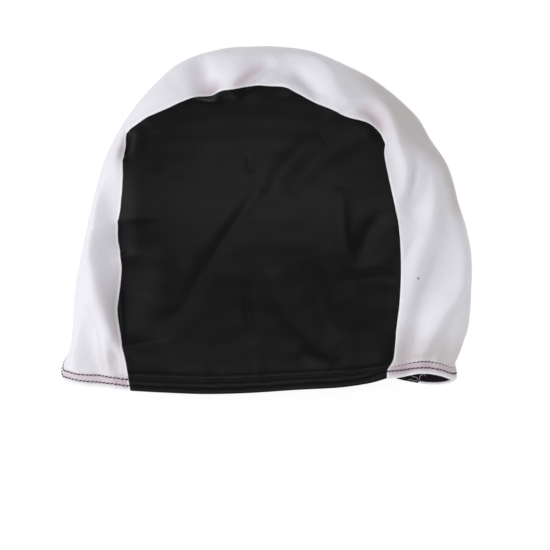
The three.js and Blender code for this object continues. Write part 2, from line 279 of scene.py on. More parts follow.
STRIP_CROWN_FOLDS = (
    fold(-5.2, 8.5, 5, 0.1, (-32, 64.5), (-31.5, 72.5), (-33, 79), (-35, 85.5), (-35.5, 94.5)),
    fold(-3.6, 6.5, 3.4, 0.6, (-32.5, 65), (-31.5, 69), (-29.5, 73.5), (-26.5, 77.5)),
    fold(2.2, 9, 12, 0, (-73.5, 56), (-65.5, 67), (-53, 77)),
    fold(3, 7, 9, 0, (-19, 67), (-18, 75.5), (-16, 84.5), (-16, 93.5)),
    fold(-3.6, 3.2, 3, 0, (-16.5, 67), (-11.5, 73.5), (-6.5, 78), (-1.5, 82.5), (5, 87)),
    fold(-0.5, 2, 2, 0.6, (-19, 69), (-15, 74.5), (-10, 79), (-4.5, 83), (1, 86.5)),
    fold(1.2, 5, 3, 0, (11.5, 68), (11.5, 74.5), (10, 79)),
    fold(-3, 3.6, 3.4, 0.1, (16, 84.5), (19.5, 78.5), (24, 73.5), (30.5, 67)),
    fold(5, 8, 6, 0, (44.5, 60), (40, 70), (36.5, 78), (34.5, 84.5), (31.5, 91), (28.5, 101)),
    fold(3.4, 4, 7, 0, (-16.5, 92), (-3.5, 93.5), (10.5, 93.5), (23.5, 92.5), (36.5, 88)),
    fold(-2, 6, 7, 0, (10, 74.5), (10.5, 82.5), (10, 90), (9.5, 97)),
    fold(
        3.6, 4, 4, 0, (42, 63), (51, 65), (60, 67), (66, 63.5), (68.5, 57), (71, 49), (73, 40.5),
        (76, 31.5), (77.5, 21.5), (76, 11.5)
    ),
    fold(-2.8, 3.4, 3.4, 0.6, (50, 59.5), (54.5, 60), (58, 59), (61.5, 54.5), (63.5, 47)),
    fold(-2.4, 7, 7, 0, (52, 78), (62, 72.5), (72, 64.5), (78.5, 56), (82, 46), (84, 35)),
    fold(1.6, 6, 5, 0, (75, 4), (76, 12.5), (77.5, 21.5), (78, 30.5), (76, 39)),
)

STRIP_RIGHT_FOLDS = (
    fold(
        3.6, 6.5, 6.5, 0, (73, -72.5), (75.5, -60.5), (77.5, -48.5), (80.5, -36.5), (83.5, -25),
        (87.5, -15), (91, -5), (92.5, 6), (93, 13.5)
    ),
    fold(-3, 4.5, 4, 0, (78.5, 1.5), (81, 9.5), (82.5, 16), (84, 22.5), (86, 29), (87.5, 37)),
    fold(4.6, 5.5, 5.5, 0, (89, -4), (91.5, 7), (92.5, 16), (92, 25), (89.5, 33.5)),
    fold(-1.2, 5, 5, 0, (103, -4), (101.5, 5), (99, 15), (96.5, 25), (93.5, 33.5)),
    fold(
        7.5, 8, 5, 0, (85.5, -78), (91, -64), (98, -51), (106, -41), (110, -29.5), (111, -19.5),
        (109, -9.5), (106, 4)
    ),
    fold(-1.6, 5, 4, 0, (99.5, -10.5), (100, -3), (98.5, 5)),
    fold(
        -1.2, 4, 6, 0, (78.5, -78), (80.5, -68), (82.5, -57), (85.5, -47), (89, -37), (93, -28.5),
        (97, -19.5), (101.5, -10.5)
    ),
    fold(-1.6, 4, 4, 0, (101.5, -81.5), (101.5, -71.5), (101.5, -61.5)),
    fold(-1.2, 3.4, 2.2, 0, (92.5, -87), (92, -81.5), (91.5, -73.5)),
    fold(-3.4, 6, 5, 0.3, (79, -90.5), (79, -78), (80.5, -69.5), (82, -58)),
    fold(-1, 1.8, 2.4, 0, (76, -24), (80, -16), (84.5, -8.5)),
)

NEAR_PANEL_FOLDS = (
    fold(
        -1.4, 4, 4, 0, (-60, -67), (-53, -57), (-45, -48), (-34, -28), (-20, -7), (-8, 10),
        (2, 26)
    ),
    fold(0.62, 6, 6, 0, (-38.7, -24), (-24.3, -4), (-14.4, 12.6)),
    fold(1.1, 5, 6, 0, (0, 6), (7.8, 24.3), (19, 38), (31, 44.7)),
    fold(-1.1, 6, 6, 0, (13.3, 12.6), (26.6, 29.2), (41, 39.2), (55.4, 47)),
    fold(1.4, 6, 4, 0, (70, -22), (58.7, -27), (48, -25.6), (43, -14.5), (41.6, 2), (41.6, 17)),
    fold(-1.2, 4.5, 4.5, 0, (53.2, -20.6), (55.4, -9.5), (65.4, 3.8)),
    fold(-1.4, 6, 6, 0, (37.7, -68.2), (31, -47.7), (23.3, -22.8)),
    fold(0.87, 6, 6, 0, (52, -61.5), (48.8, -45), (47.6, -34)),
    fold(0.99, 5, 7, 0, (39.3, -79.3), (21.6, -62.7), (5.6, -45), (4.5, -27.2)),
    fold(-0.93, 4, 4, 0, (17.8, -73.7), (28.8, -78.2), (41, -82.6)),
    fold(-0.74, 2.2, 2.2, 0, (-7.2, -70), (-9.9, -51.6), (-11.6, -34)),
    fold(-0.74, 2.8, 2.8, 0, (50, -33.3), (61, -31), (72.6, -33.3)),
    fold(-0.62, 2.6, 2.6, 0, (-7.7, 24.8), (-9.9, 37)),
    fold(-0.87, 5, 5, 0, (-61, 26), (-62, 48)),
    fold(-0.99, 10, 12, 0, (-69.7, -45), (-64, -11.7), (-56, 16)),
)

UPPER_FOLDS = STRIP_LEFT_FOLDS + STRIP_CROWN_FOLDS + STRIP_RIGHT_FOLDS + NEAR_PANEL_FOLDS

# Folds of the roll under the widest line: bearings of the outer and the inner end, height, which
# is below 0 for a dent, and width.
LOWER_FOLDS = table(
    "outer inner height width",
    (-14, -6, -1.6, 6),
    (6, 14, 1.2, 7),
    (24, 20, -1.8, 6),
    (47, 55, -2.2, 7),
    (66, 60, 1.4, 8),
    (84, 92, -1.6, 6),
    (108, 104, 1.2, 7),
    (124, 130, -2.0, 6),
    (146, 142, 1.2, 6),
    (163, 156, -1.8, 6),
    (186, 190, -1.4, 5),
)

# Reach of a lower fold's outer end, middle and inner end, as shares of the outline's radius.
LOWER_FOLD_REACHES = np.array((1.04, 0.9, 0.74))

# Latitudes between which something sets in or dies away. Latitude is 0 at the top of the swell,
# 1 on the widest line and 2 where the flat floor begins.
UPPER_FOLDS_END = (0.8, 1.0)
LOWER_FOLDS_START = (1.0, 1.3)
LOWER_FOLDS_END = (1.6, 1.9)
LOOSE_CLOTH_END = (1.4, 1.8)
UPRIGHT_START = (0.62, 0.86)
UPRIGHT_END = (1.0, 1.2)

# Unevenness of the cloth: height, usual length and seed of its waves. Then how many waves there
# are, and the range of their lengths as shares of the usual one.
BROAD_DRIFT = (0.5, 30, 3)
FINE_DRIFT = (0.22, 12, 7)
HEM_GATHERS = (0.9, 9, 11)
SEAM_PUCKERS = (0.3, 4.5, 23)
WAVE_COUNT = 8
WAVE_LENGTHS = (0.7, 1.5)

# Painted shade on the white rim: bearings where it sets in and dies away, the latitude of its edge,
# and how far and over which bearings that edge comes in where the zone is widest.
RIM_SHADE_START = (16, 26)
RIM_SHADE_END = (60, 74)
RIM_SHADE_LATITUDE = 0.78
RIM_SHADE_WIDENING = 0.16
RIM_SHADE_WIDEST = 50
RIM_SHADE_SPREAD = 10
RIM_SHADE_SOFTNESS = 0.09

# Painted shade over the ends of the white hem: x where it sets in and dies away, how dark the band
# and the cloth over it are painted, and distances from the hem's edge.
RIGHT_HEM_SHADE_START = (62, 70)
LEFT_HEM_SHADE_START = (-102, -96)
LEFT_HEM_SHADE_END = (-70, -60)
LEFT_HEM_SHADE = 0.5
BAND_SHADE = 0.3
OVER_BAND_SHADE = 0.4
OVER_BAND = (6, 9)
HEM_SHADE_END = (12, 30)

# Cloth and hem, as sewn: the hem's width, the zone beside its edge that has fine rows, the two
# thicknesses, half the width of the step between them, and how far a seam's edge is rounded.
HEM_WIDTH = 8.0
HEM_ZONE = 12.0
CLOTH_THICKNESS = 0.75
HEM_THICKNESS = 1.6
HEM_STEP = 0.6
SEAM_ROUND = 0.5

# Gathers over the hem, puckers beside the seams, and cloth drawn down into a seam: how far each
# reaches, and how deep the seam draws.
GATHERS_START = (1.0, 9.0)
GATHERS_REACH = 22
PUCKERS_REACH = 3.0
DRAWN_REACH = 1.8
DRAWN_DEPTH = 0.12

# The strip is raised a little over the seam allowances, between these distances from a seam.
PRINT_HEIGHT = 0.06
PRINT_START = (0.6, 1.8)
PRINT_END = (4.6, 6.4)

# Profile of the hem's band: height and end of the band, grooves under the stitches and at their
# holes, puffs beside the rows and the dip over the band. Puffs and dip are height, distance from
# the edge and width.
BAND_HEIGHT = 0.4
BAND_END = (7.0, 8.6)
GROOVE_DEPTH = 0.32
HOLE_DEPTH = 0.2
GROOVE_WIDTH = 0.6
HEM_PUFFS = ((0.12, 0.9, 0.9), (0.1, 4.8, 0.9))
HEM_DIP = (0.45, 9.6, 1.6)

# Rows of stitches: distance from the hem's edge, how much more it is round the right end of the
# mouth, and how much more again at the near seam there. Then the x where that end sets in, and
# the near seam's x and how far it counts.
STITCH_ROWS = ((2.8, 0.7, 0.9), (6.4, 0.6, 0.3))
RIGHT_END = (50, 66)
NEAR_SEAM_X = 68
NEAR_SEAM_SPREAD = 9

# Stitches: pitch, points along one, the share of the pitch that one fills, slant, bow over the
# cloth, how deep the ends dip and how much thinner they are.
STITCH_PITCH = 2.3
STITCH_POINTS = 9
STITCH_SHARE = (0.05, 0.95)
STITCH_SLANT = 0.6
STITCH_BOW = 0.3
STITCH_DIP = 1.1
STITCH_THINNING = 0.4

# The second row sinks into the soft cloth round the right end, and less so near one place.
SUNK_DEPTH = 0.55
SUNK_START = (63, 68)
SUNK_RELIEF = 0.65
RELIEF_X = 89.5
RELIEF_SPREAD = 9

# Looper thread inside the hem: its strands, points in each stitch, distance from the hem's edge,
# swing to each side, height off the cloth and how much that height weaves.
LOOPER_STRANDS = 4
LOOPER_POINTS = 12
LOOPER_PLACE = 4.3
LOOPER_SWING = 3.0
LOOPER_HEIGHT = 0.25
LOOPER_WEAVE = 0.12

# Seam allowances and their overlocking: thickness, distance from the seam, gap to the cloth, how
# far from the hem's edge they begin, points round the section, radius of the thread, points in
# each turn, and the reach of a turn as shares of the allowance's width and thickness.
ALLOWANCE_THICKNESS = 1.1
ALLOWANCE_START = 0.4
ALLOWANCE_GAP = 0.05
ALLOWANCE_FROM_HEM = 6.5
SECTION_POINTS = 20
OVERLOCK_RADIUS = 0.17
OVERLOCK_POINTS = 10
OVERLOCK_BREADTH = 0.53
OVERLOCK_RISE = 0.66

# Loose ends of the overlocking thread, as points from the far seam's end at the right.
THREAD_TAILS = (
    ((0.0, 2.0, 1.5), (-1.5, 3.5, 3.0), (-3.0, 3.5, 4.5), (-4.0, 5.0, 5.0)),
    ((0.5, 2.0, 1.5), (1.0, 4.0, 3.0), (3.0, 5.0, 3.5), (4.0, 4.0, 5.0)),
    ((-0.5, 1.5, 1.5), (-2.5, 1.2, 2.5), (-4.5, 2.2, 2.5), (-6.5, 1.2, 3.5)),
)
TAIL_POINTS = 24
TAIL_UP = np.array((0.3, 0.2, 1.0))

# Length of a thread's pointed tip, as a share of its radius.
TIP_LENGTH = 0.6

# Grids of cloth: places along a seam, the fine steps at its edge and how far they reach, the same
# for the hem, the usual steps of each piece, the sizes that those are graded over, the rows of the
# strip, and the columns beside each seam that the hem's band leaves out.
SEAM_COUNT = 400
SEAM_STEP = 0.12
SEAM_STEP_SPREAD = 0.9
HEM_STEPS = {"centres": (0, 2.8, 3.6, 6.4), "fine": 0.15, "coarse": 0.5, "spread": 0.6}
STRIP_STEP = 0.6
STRIP_WIDTH = 80
STRIP_SIDE_ROWS = 62
STRIP_TOP_ROWS = 84
PANEL_WIDTH = 150
PANEL_DEPTH = 158
NEAR_PANEL_STEP = 0.62
FAR_PANEL_STEP = 1.0
BAND_MARGIN = 8

# Samples along a curve, samples of a graded length, and points for each stop of a fold's path.
CURVE_SAMPLES = 1001
GRADING_SAMPLES = 8001
FOLD_POINTS = 4
FOLD_END_POWER = 0.6

# Steps in latitude and in bearing over which the form's normals are worked out.
LATITUDE_STEP = 0.002
BEARING_STEP = 0.2

# Sockets of a Mix node that takes colours: factor, first and second colour, and its result.
MIX_COLOUR_INPUTS = (0, 6, 7)
MIX_COLOUR_OUTPUT = 2

# Knit: pitches in millimetres, slant of the courses, scale of the noise, the shares that wales,
# courses and noise have in the relief, and its depth in metres.
WALE_PITCH = 0.55
COURSE_PITCH = 0.42
COURSE_SLANT = 0.5
KNIT_NOISE = 1.4
WALE_SHARE = 0.6
COURSE_SHARE = 0.4
KNIT_NOISE_SHARE = 0.5
KNIT_DEPTH = 0.00002

# Scales of the noise in the cloth and thread, roughness and how much the noise adds to it, and the
# fuzz of the thread: detail, depth in metres, and how dark the shade painted in its hollows is.
WHITE_CLOUDS = 45.0
BLACK_CLOUDS = 30.0
PINK_GRAIN = 900.0
FUZZ_SCALE = 2500.0
WHITE_ROUGHNESS = 0.5
BLACK_ROUGHNESS = 0.4
CLOUDS_ROUGHNESS = 0.08
THREAD_ROUGHNESS = 0.6
FUZZ_ROUGHNESS = 0.2
FUZZ_DETAIL = 3.0
FUZZ_DEPTH = 0.00004
FUZZ_HOLLOW_SHADE = 0.55

# Where the white knit looks pink or has a painted highlight, in millimetres: reach beside a seam,
# middle and half width of the zone between the stitch rows, the hem's lip, the turned edges with
# the painted highlight, and the zone inside that the looper thread covers.
PINK_BY_SEAM = 6.0
PINK_BAND_MIDDLE = 4.8
PINK_BAND_HALF = 3.0
PINK_LIP = 2.2
SEAM_HIGHLIGHT_REACH = 1.5
HEM_HIGHLIGHT_REACH = 1.8
LOOPER_COVER = (0.9, 8.0)

# How pink it looks there: beside a seam, between the rows with and without their grain, on the
# lip, and how much more under the painted shade. Then how strong the painted shade is, without
# and with the clouds.
SEAM_PINK = 0.3
BAND_PINK = 0.35
BAND_GRAIN_PINK = 0.5
LIP_PINK = 0.3
PAINTED_SHADE_PINK = 1.5
PAINTED_SHADE_STRENGTH = 0.8
PAINTED_SHADE_CLOUDS = 0.4

# The small grey speck on the right of the strip, in metres.
SPECK_PLACE = (0.0840, -0.0330)
SPECK_RADIUS = 0.0004
SPECK_STRENGTH = 0.85
SPECK_COLOUR = (0.08, 0.08, 0.085)

# The photograph: its width in pixels, the cap's width in millimetres and in pixels, the pixels of
# the picture's and of the cap's centre, and the height at which the cap's width is seen.
PHOTO_WIDTH = 550
CAP_WIDTH = 230
CAP_WIDTH_PIXELS = 412
PIXEL_SIZE = CAP_WIDTH / CAP_WIDTH_PIXELS
PHOTO_CENTRE = np.array((275.0, 275.0))
CAP_CENTRE = np.array((266.0, 219.3))
SIZED_HEIGHT = 22.0

# Stage, in metres, apart from the camera's sensor, which is in millimetres.
KEY_PLACE = (-2.3, -0.08, 0.85)
FILL_PLACE = (1.0, -2.0, 1.2)
TOP_PLACE = (0.0, 0.0, 3.0)
KEY_SIZE = 1.1
FILL_SIZE = 1.1
TOP_SIZE = 2.2
CAP_MIDDLE = (0.0, 0.0, 0.02)
LAMP_COLOUR = (0.97, 0.98, 1.0)
ROOM_COLOUR = (1.0, 0.95, 0.92)
FLOOR_SIZE = 20
FLOOR_DROP = 0.0003
VIEW_END = 20
SENSOR_WIDTH = 36


def smoothstep(value, low, high):
    """0 up to low, 1 from high on, and the cubic 3 t^2 - 2 t^3 between them."""
    t = np.clip((value - low) / (high - low), 0, 1)
    return t * t * (3 - 2 * t)


def bell(distance, width):
    """Bell curve: 1 at distance 0, and 1/e one width away."""
    return np.exp(-((distance / width) ** 2))


def rounded(distance, radius):
    """Quarter circle: 0 at the edge, 1 from one radius in."""
    t = 1 - np.clip(distance / radius, 0, 1)
    return np.sqrt(np.maximum(1 - t * t, 0))


def unit(vectors):
    """Vectors brought to length 1."""
    return vectors / np.maximum(np.linalg.norm(vectors, axis=-1, keepdims=True), 1e-12)


def read_table(rows, station, value, at):
    """Cubic curve through a table's rows: Hermite spans, each slope that of the row's neighbours."""
    x = rows[station]
    y = rows[value]
    before = np.maximum(np.arange(len(x)) - 1, 0)
    after = np.minimum(np.arange(len(x)) + 1, len(x) - 1)
    slope = (y[after] - y[before]) / (x[after] - x[before])
    at = np.clip(at, x[0], x[-1])
    i = np.clip(np.searchsorted(x, at, side="right") - 1, 0, len(x) - 2)
    span = x[i + 1] - x[i]
    t = (at - x[i]) / span
    start = (2 * t**3 - 3 * t**2 + 1) * y[i] + (t**3 - 2 * t**2 + t) * span * slope[i]
    end = (3 * t**2 - 2 * t**3) * y[i + 1] + (t**3 - t**2) * span * slope[i + 1]
    return start + end


def lengths_along(path):
    """Length from the first point of a path to each of its points. Works on axis 0."""
    steps = np.linalg.norm(np.diff(path, axis=0), axis=-1)
    return np.concatenate((np.zeros_like(steps[:1]), np.cumsum(steps, axis=0)))


def resample(path, count):
    """The path's points moved along it to count even steps."""
    lengths = lengths_along(path)
    at = np.linspace(0, lengths[-1], count)
    return np.stack([np.interp(at, lengths, axis) for axis in path.T], axis=-1)


def spline(p, count):
    """Catmull-Rom curve through plan or space points, as count points evenly spaced along it."""
    last = len(p) - 1
    t = np.linspace(0, last, CURVE_SAMPLES)
    i = np.minimum(t.astype(int), last - 1)
    w = (t - i)[:, None]
    start = (p[i + 1] - p[np.maximum(i - 1, 0)]) / 2
    end = (p[np.minimum(i + 2, last)] - p[i]) / 2
    cubic = (2 * p[i] - 2 * p[i + 1] + start + end) * w**3
    square = (-3 * p[i] + 3 * p[i + 1] - 2 * start - end) * w**2
    return resample(cubic + square + start * w + p[i], count)


def plan_curve(rows, count):
    """The curve through a table's x and y."""
    return spline(np.stack((rows["x"], rows["y"]), axis=-1), count)


def graded(length, centres, fine, coarse, spread):
    """Places from 0 to length whose steps are fine near the centres and coarse away from them."""
    x = np.linspace(0, length, GRADING_SAMPLES)
    near = np.max([bell(x - centre, spread) for centre in centres], axis=0)
    density = 1 / coarse + (1 / fine - 1 / coarse) * near
    count = np.concatenate(([0], np.cumsum((density[1:] + density[:-1]) / 2 * np.diff(x))))
    return np.interp(np.linspace(0, count[-1], math.ceil(count[-1]) + 1), count, x)


HEM_ROW_PLACES = graded(HEM_ZONE, **HEM_STEPS)
HEM_MIDDLE_ROW = int(np.searchsorted(HEM_ROW_PLACES, HEM_WIDTH / 2))


def closed_outline():
    """The outline's rows with two repeated past each end, one whole turn away."""
    bearing = OUTLINE["bearing"]
    radius = OUTLINE["radius"]
    return {
        "bearing": np.concatenate((bearing[-2:] - 360, bearing, bearing[:2] + 360)),
        "radius": np.concatenate((radius[-2:], radius, radius[:2])),
    }


CLOSED_OUTLINE = closed_outline()


def outline_radius(bearing):
    """Radius of the outline at any bearing."""
    first = OUTLINE["bearing"][0]
    return read_table(CLOSED_OUTLINE, "bearing", "radius", (bearing - first) % 360 + first)


def bearing_of(x, y):
    """Bearing of a place about the hub, from -90 to 270 degrees."""
    return (np.degrees(np.arctan2(y - HUB[1], x - HUB[0])) + 90) % 360 - 90


def reach_of(x, y):
    """Distance of a place from the hub, as a share of the outline's radius there."""
    return np.hypot(x - HUB[0], y - HUB[1]) / outline_radius(bearing_of(x, y))


def near_latitude(reach):
    """Latitude of a place on the near side: 0 at the top of the swell, 1 on the widest line."""
    return np.arcsin(np.minimum(reach, 1) ** (SWELL_ROUNDNESS / 2)) / (math.pi / 2)


def far_latitude(reach):
    """Latitude of a place on the far side: 1 on the widest line, 2 at the floor, more over it."""
    inset = (np.minimum(reach, 1) - FLAT_SHARE) / (1 - FLAT_SHARE)
    return np.where(inset < 0, 2 - inset, 1 + np.arccos(np.clip(inset, 0, 1)) / (math.pi / 2))


def form(bearing, latitude):
    """Points of the puffed form: a superellipse above the widest line, a quarter ellipse below it
    and then the flat floor, all shrunk in height towards the mouth."""
    upper_turn = np.minimum(latitude, 1) * math.pi / 2
    lower_turn = np.clip(latitude - 1, 0, 1) * math.pi / 2
    over_floor = np.maximum(latitude - 2, 0)
    upper_reach = np.sin(upper_turn) ** (2 / SWELL_ROUNDNESS)
    lower_reach = FLAT_SHARE + (1 - FLAT_SHARE) * (np.cos(lower_turn) - over_floor)
    radius = np.where(latitude <= 1, upper_reach, lower_reach) * outline_radius(bearing)
    x = HUB[0] + radius * np.cos(np.radians(bearing))
    y = HUB[1] + radius * np.sin(np.radians(bearing))
    rise = SWELL * np.maximum(np.cos(upper_turn), 0) ** (2 / SWELL_ROUNDNESS)
    height = WIDEST_HEIGHT * (1 - np.sin(lower_turn)) + np.where(latitude < 1, rise, 0)
    share = MOUTH_HEIGHT_SHARE + (1 - MOUTH_HEIGHT_SHARE) * smoothstep(y, MOUTH_Y, FULL_HEIGHT_Y)
    return np.stack((x, y, height * share), axis=-1)


def on_form(plan, latitude_of):
    """Points of the form over or under places in plan."""
    x = plan[..., 0]
    y = plan[..., 1]
    return form(bearing_of(x, y), latitude_of(reach_of(x, y)))


def form_normal(bearing, latitude):
    """Outward normals of the form, from short steps down and round it."""
    above = np.maximum(latitude - LATITUDE_STEP, 0)
    down = form(bearing, latitude + LATITUDE_STEP) - form(bearing, above)
    around = form(bearing + BEARING_STEP, latitude) - form(bearing - BEARING_STEP, latitude)
    return unit(np.cross(down, around))


def nearest_on(line, x, y):
    """For each place: share of the way along the line to its nearest point, the distance to it,
    and whether the place lies to the left of the line there."""
    distance = np.full(x.shape, np.inf)
    along = np.zeros_like(x)
    left = np.zeros(x.shape, bool)
    for k, ((start_x, start_y), (step_x, step_y)) in enumerate(zip(line, np.diff(line, axis=0))):
        dx = x - start_x
        dy = y - start_y
        share = np.clip((dx * step_x + dy * step_y) / (step_x**2 + step_y**2), 0, 1)
        gap = np.hypot(dx - share * step_x, dy - share * step_y)
        closer = gap < distance
        distance = np.where(closer, gap, distance)
        along = np.where(closer, (k + share) / (len(line) - 1), along)
        left = np.where(closer, step_x * dy - step_y * dx > 0, left)
    return along, distance, left


def fold_fields(folds, x, y):
    """Height and painted pink shade of all the folds together. Each fold is highest half way along
    its path, dies at the path's ends, and falls off to each side as a bell curve of its own width."""
    height = np.zeros_like(x)
    fold_shade = np.zeros_like(x)
    for item in folds:
        line = spline(item["path"], FOLD_POINTS * len(item["path"]))
        along, distance, left = nearest_on(line, x, y)
        width = np.where(left, item["left"], item["right"])
        ends = np.sin(math.pi * np.clip(along, 0, 1)) ** FOLD_END_POWER
        share = ends * bell(distance, width)
        height += item["height"] * share
        fold_shade = np.maximum(fold_shade, item["fold_shade"] * share)
    return height, fold_shade


def lower_fold_height(x, y):
    """Folds of the roll under the widest line, each from its outer to its inner bearing."""
    folds = []
    for outer, inner, height, width in zip(*LOWER_FOLDS.values()):
        bearing = np.linspace(outer, inner, len(LOWER_FOLD_REACHES))
        radius = LOWER_FOLD_REACHES * outline_radius(bearing)
        turn = np.radians(bearing)
        path = HUB + radius[:, None] * np.stack((np.cos(turn), np.sin(turn)), axis=-1)
        folds.append(fold(height, width, width, 0, *path))
    return fold_fields(folds, x, y)[0]


def unevenness(points, height, length, seed):
    """Soft wandering up to the height either way: the mean of sine waves in seeded directions,
    each about as long as the given length."""
    rng = np.random.default_rng(seed)
    headings = unit(rng.normal(size=(WAVE_COUNT, 3)))
    lengths = length * rng.uniform(*WAVE_LENGTHS, WAVE_COUNT)
    phases = rng.uniform(0, 2 * math.pi, WAVE_COUNT)
    waves = np.sin(points @ headings.T * (2 * math.pi / lengths) + phases)
    return height * waves.mean(axis=-1)


def cloth_surface(bearing, latitude):
    """Outer face of the cloth, its normals, and the pink shade painted in its folds: the form, the
    folds above and below the widest line, and a slight unevenness where the floor doesn't press.
    Folds near the widest line move the cloth straight up, which leaves the outline as it is."""
    points = form(bearing, latitude)
    normals = form_normal(bearing, latitude)
    x = points[..., 0]
    y = points[..., 1]
    above = 1 - smoothstep(latitude, *UPPER_FOLDS_END)
    below = smoothstep(latitude, *LOWER_FOLDS_START) * (1 - smoothstep(latitude, *LOWER_FOLDS_END))
    upper_height, fold_shade = fold_fields(UPPER_FOLDS, x, y)
    folds = above * upper_height + below * lower_fold_height(x, y)
    drift = unevenness(points, *BROAD_DRIFT) + unevenness(points, *FINE_DRIFT)
    free = 1 - smoothstep(latitude, *LOOSE_CLOTH_END)
    upright = smoothstep(latitude, *UPRIGHT_START) * (1 - smoothstep(latitude, *UPRIGHT_END))
    lift = normals * (1 - upright)[..., None]
    lift[..., 2] += upright
    surface = points + lift * folds[..., None] + normals * (free * drift)[..., None]
    return surface, normals, above * fold_shade


def rim_shade(bearing, latitude):
    """How strongly shade is painted on the white cloth, from 0 to 1, on the rim at the upper right,
    which faces away from the key light."""
    along = smoothstep(bearing, *RIM_SHADE_START) * (1 - smoothstep(bearing, *RIM_SHADE_END))
    widening = RIM_SHADE_WIDENING * bell(bearing - RIM_SHADE_WIDEST, RIM_SHADE_SPREAD)
    edge = RIM_SHADE_LATITUDE - widening
    return along * smoothstep(latitude, edge - RIM_SHADE_SOFTNESS, edge + RIM_SHADE_SOFTNESS)


def hem_shade(x, hem):
    """The same painted shade over both ends of the hem, fading up the cloth."""
    left = smoothstep(x, *LEFT_HEM_SHADE_START) * (1 - smoothstep(x, *LEFT_HEM_SHADE_END))
    ends = smoothstep(x, *RIGHT_HEM_SHADE_START) + LEFT_HEM_SHADE * left
    painted_shade_amount = BAND_SHADE + OVER_BAND_SHADE * smoothstep(hem, *OVER_BAND)
    return painted_shade_amount * ends * (1 - smoothstep(hem, *HEM_SHADE_END))


def stitch_distance(row, x):
    """Distance of a stitch row from the hem's edge. Both rows run further from it round the
    right end of the hem, most of all at the near seam."""
    usual, at_end, at_seam = row
    near_seam = bell(x - NEAR_SEAM_X, NEAR_SEAM_SPREAD)
    return usual + at_end * smoothstep(x, *RIGHT_END) + at_seam * near_seam


def hem_profile(hem, stitch, x):
    """Height of the hem's band: puffs between the stitch rows, a groove under each row that is
    deepest at the needle holes, and a dip above the band."""
    band = BAND_HEIGHT * (1 - smoothstep(hem, *BAND_END))
    hole = 0.5 + 0.5 * np.cos(2 * math.pi * stitch)
    groove = GROOVE_DEPTH + HOLE_DEPTH * hole
    grooves = sum(groove * bell(hem - stitch_distance(row, x), GROOVE_WIDTH) for row in STITCH_ROWS)
    puffs = sum(
        height * (1 - hole) * bell(hem - place, width) for height, place, width in HEM_PUFFS
    )
    depth, place, width = HEM_DIP
    return band - grooves + puffs - depth * bell(hem - place, width)


def count_stitches(points):
    """Number of stitches up to each point of a hem: whole at both ends, near the usual pitch."""
    lengths = lengths_along(points)
    return lengths / lengths[-1] * round(lengths[-1] / STITCH_PITCH)


class Cloth:
    """A grid of cloth with rounded hem and seam edges, from its places on the form.

    Rows run away from the hem. hem and seam are each vertex's distance from those edges, edge is
    the point of the hem's edge that each vertex is level with, and stitch counts the stitches of
    the hem up to it. raised is how far the seam allowances inside lift the cloth. The outer face
    never goes below the floor."""

    def __init__(self, bearing, latitude, hem, seam, edge, stitch, clockwise, raised=0.0):
        base, self.normals, self.fold_shade = cloth_surface(bearing, latitude)
        x = base[..., 0]
        # Painted shade: on the rim at the upper right and over the hem's ends.
        self.shade = np.maximum(rim_shade(bearing, latitude), hem_shade(x, hem))
        self.hem = hem
        self.seam = seam
        self.stitch = stitch
        self.clockwise = clockwise
        self.grain = np.stack((lengths_along(base.swapaxes(0, 1)).T, lengths_along(base)), axis=-1)

        free = 1 - smoothstep(latitude, *LOOSE_CLOTH_END)
        gathered = smoothstep(hem, *GATHERS_START) * bell(hem, GATHERS_REACH) * free
        puckered = bell(seam, PUCKERS_REACH) * free
        shift = gathered * unevenness(edge, *HEM_GATHERS)
        shift = shift + puckered * unevenness(base, *SEAM_PUCKERS)
        shift = shift - DRAWN_DEPTH * bell(seam, DRAWN_REACH)

        hemmed = 1 - smoothstep(hem, HEM_WIDTH - HEM_STEP, HEM_WIDTH + HEM_STEP)
        over_allowance = smoothstep(seam, *PRINT_START) * (1 - smoothstep(seam, *PRINT_END))
        outer = hem_profile(hem, stitch, x) + raised * over_allowance
        inner = -CLOTH_THICKNESS - (HEM_THICKNESS - CLOTH_THICKNESS) * hemmed
        middle = (outer + inner) / 2
        round_hem = rounded(hem, HEM_THICKNESS / 2)
        outer = middle + (outer - middle) * round_hem
        inner = middle + (inner - middle) * round_hem
        outer = inner + (outer - inner) * rounded(seam, SEAM_ROUND)
        self.outer = base + self.normals * (outer + shift)[..., None]
        self.inner = base + self.normals * (inner + shift)[..., None]
        self.outer[..., 2] = np.maximum(self.outer[..., 2], 0)


def columns_at(dense, lengths, wanted):
    """Each column of dense, read at the wanted lengths along that column."""
    columns = [
        [np.interp(wanted[:, i], lengths[:, i], dense[:, i, k]) for k in range(dense.shape[2])]
        for i in range(dense.shape[1])
    ]
    return np.transpose(np.array(columns), (2, 0, 1))


def rows_up_from_hem(columns, lengths, rest_shares):
    """Turns dense columns, from the hem up, into grid rows: first at the set distances from the
    hem, then at the given shares of what is left of each column. lengths is the distance from the
    hem to each place of the dense columns."""
    rest = HEM_ZONE + rest_shares[1:, None] * (lengths[-1] - HEM_ZONE)
    first = np.repeat(HEM_ROW_PLACES[:, None], columns.shape[1], 1)
    return columns_at(columns, lengths, np.concatenate((first, rest)))


def seam_line(rows):
    """A near seam as bearing and latitude, evenly spaced from the table's first row."""
    x, y = plan_curve(rows, SEAM_COUNT).T
    return np.stack((bearing_of(x, y), near_latitude(reach_of(x, y))), axis=-1)


def strip_bearing(line, across, left_share, right_share):
    """Bearings of the strip over line stations and shares across, turned by its hems' tables."""
    left = left_share[:, None] * read_table(LEFT_HEM, "across", "turn", across)[None]
    right = right_share[:, None] * read_table(RIGHT_HEM, "across", "turn", across)[None]
    return line[:, :1] + left + right


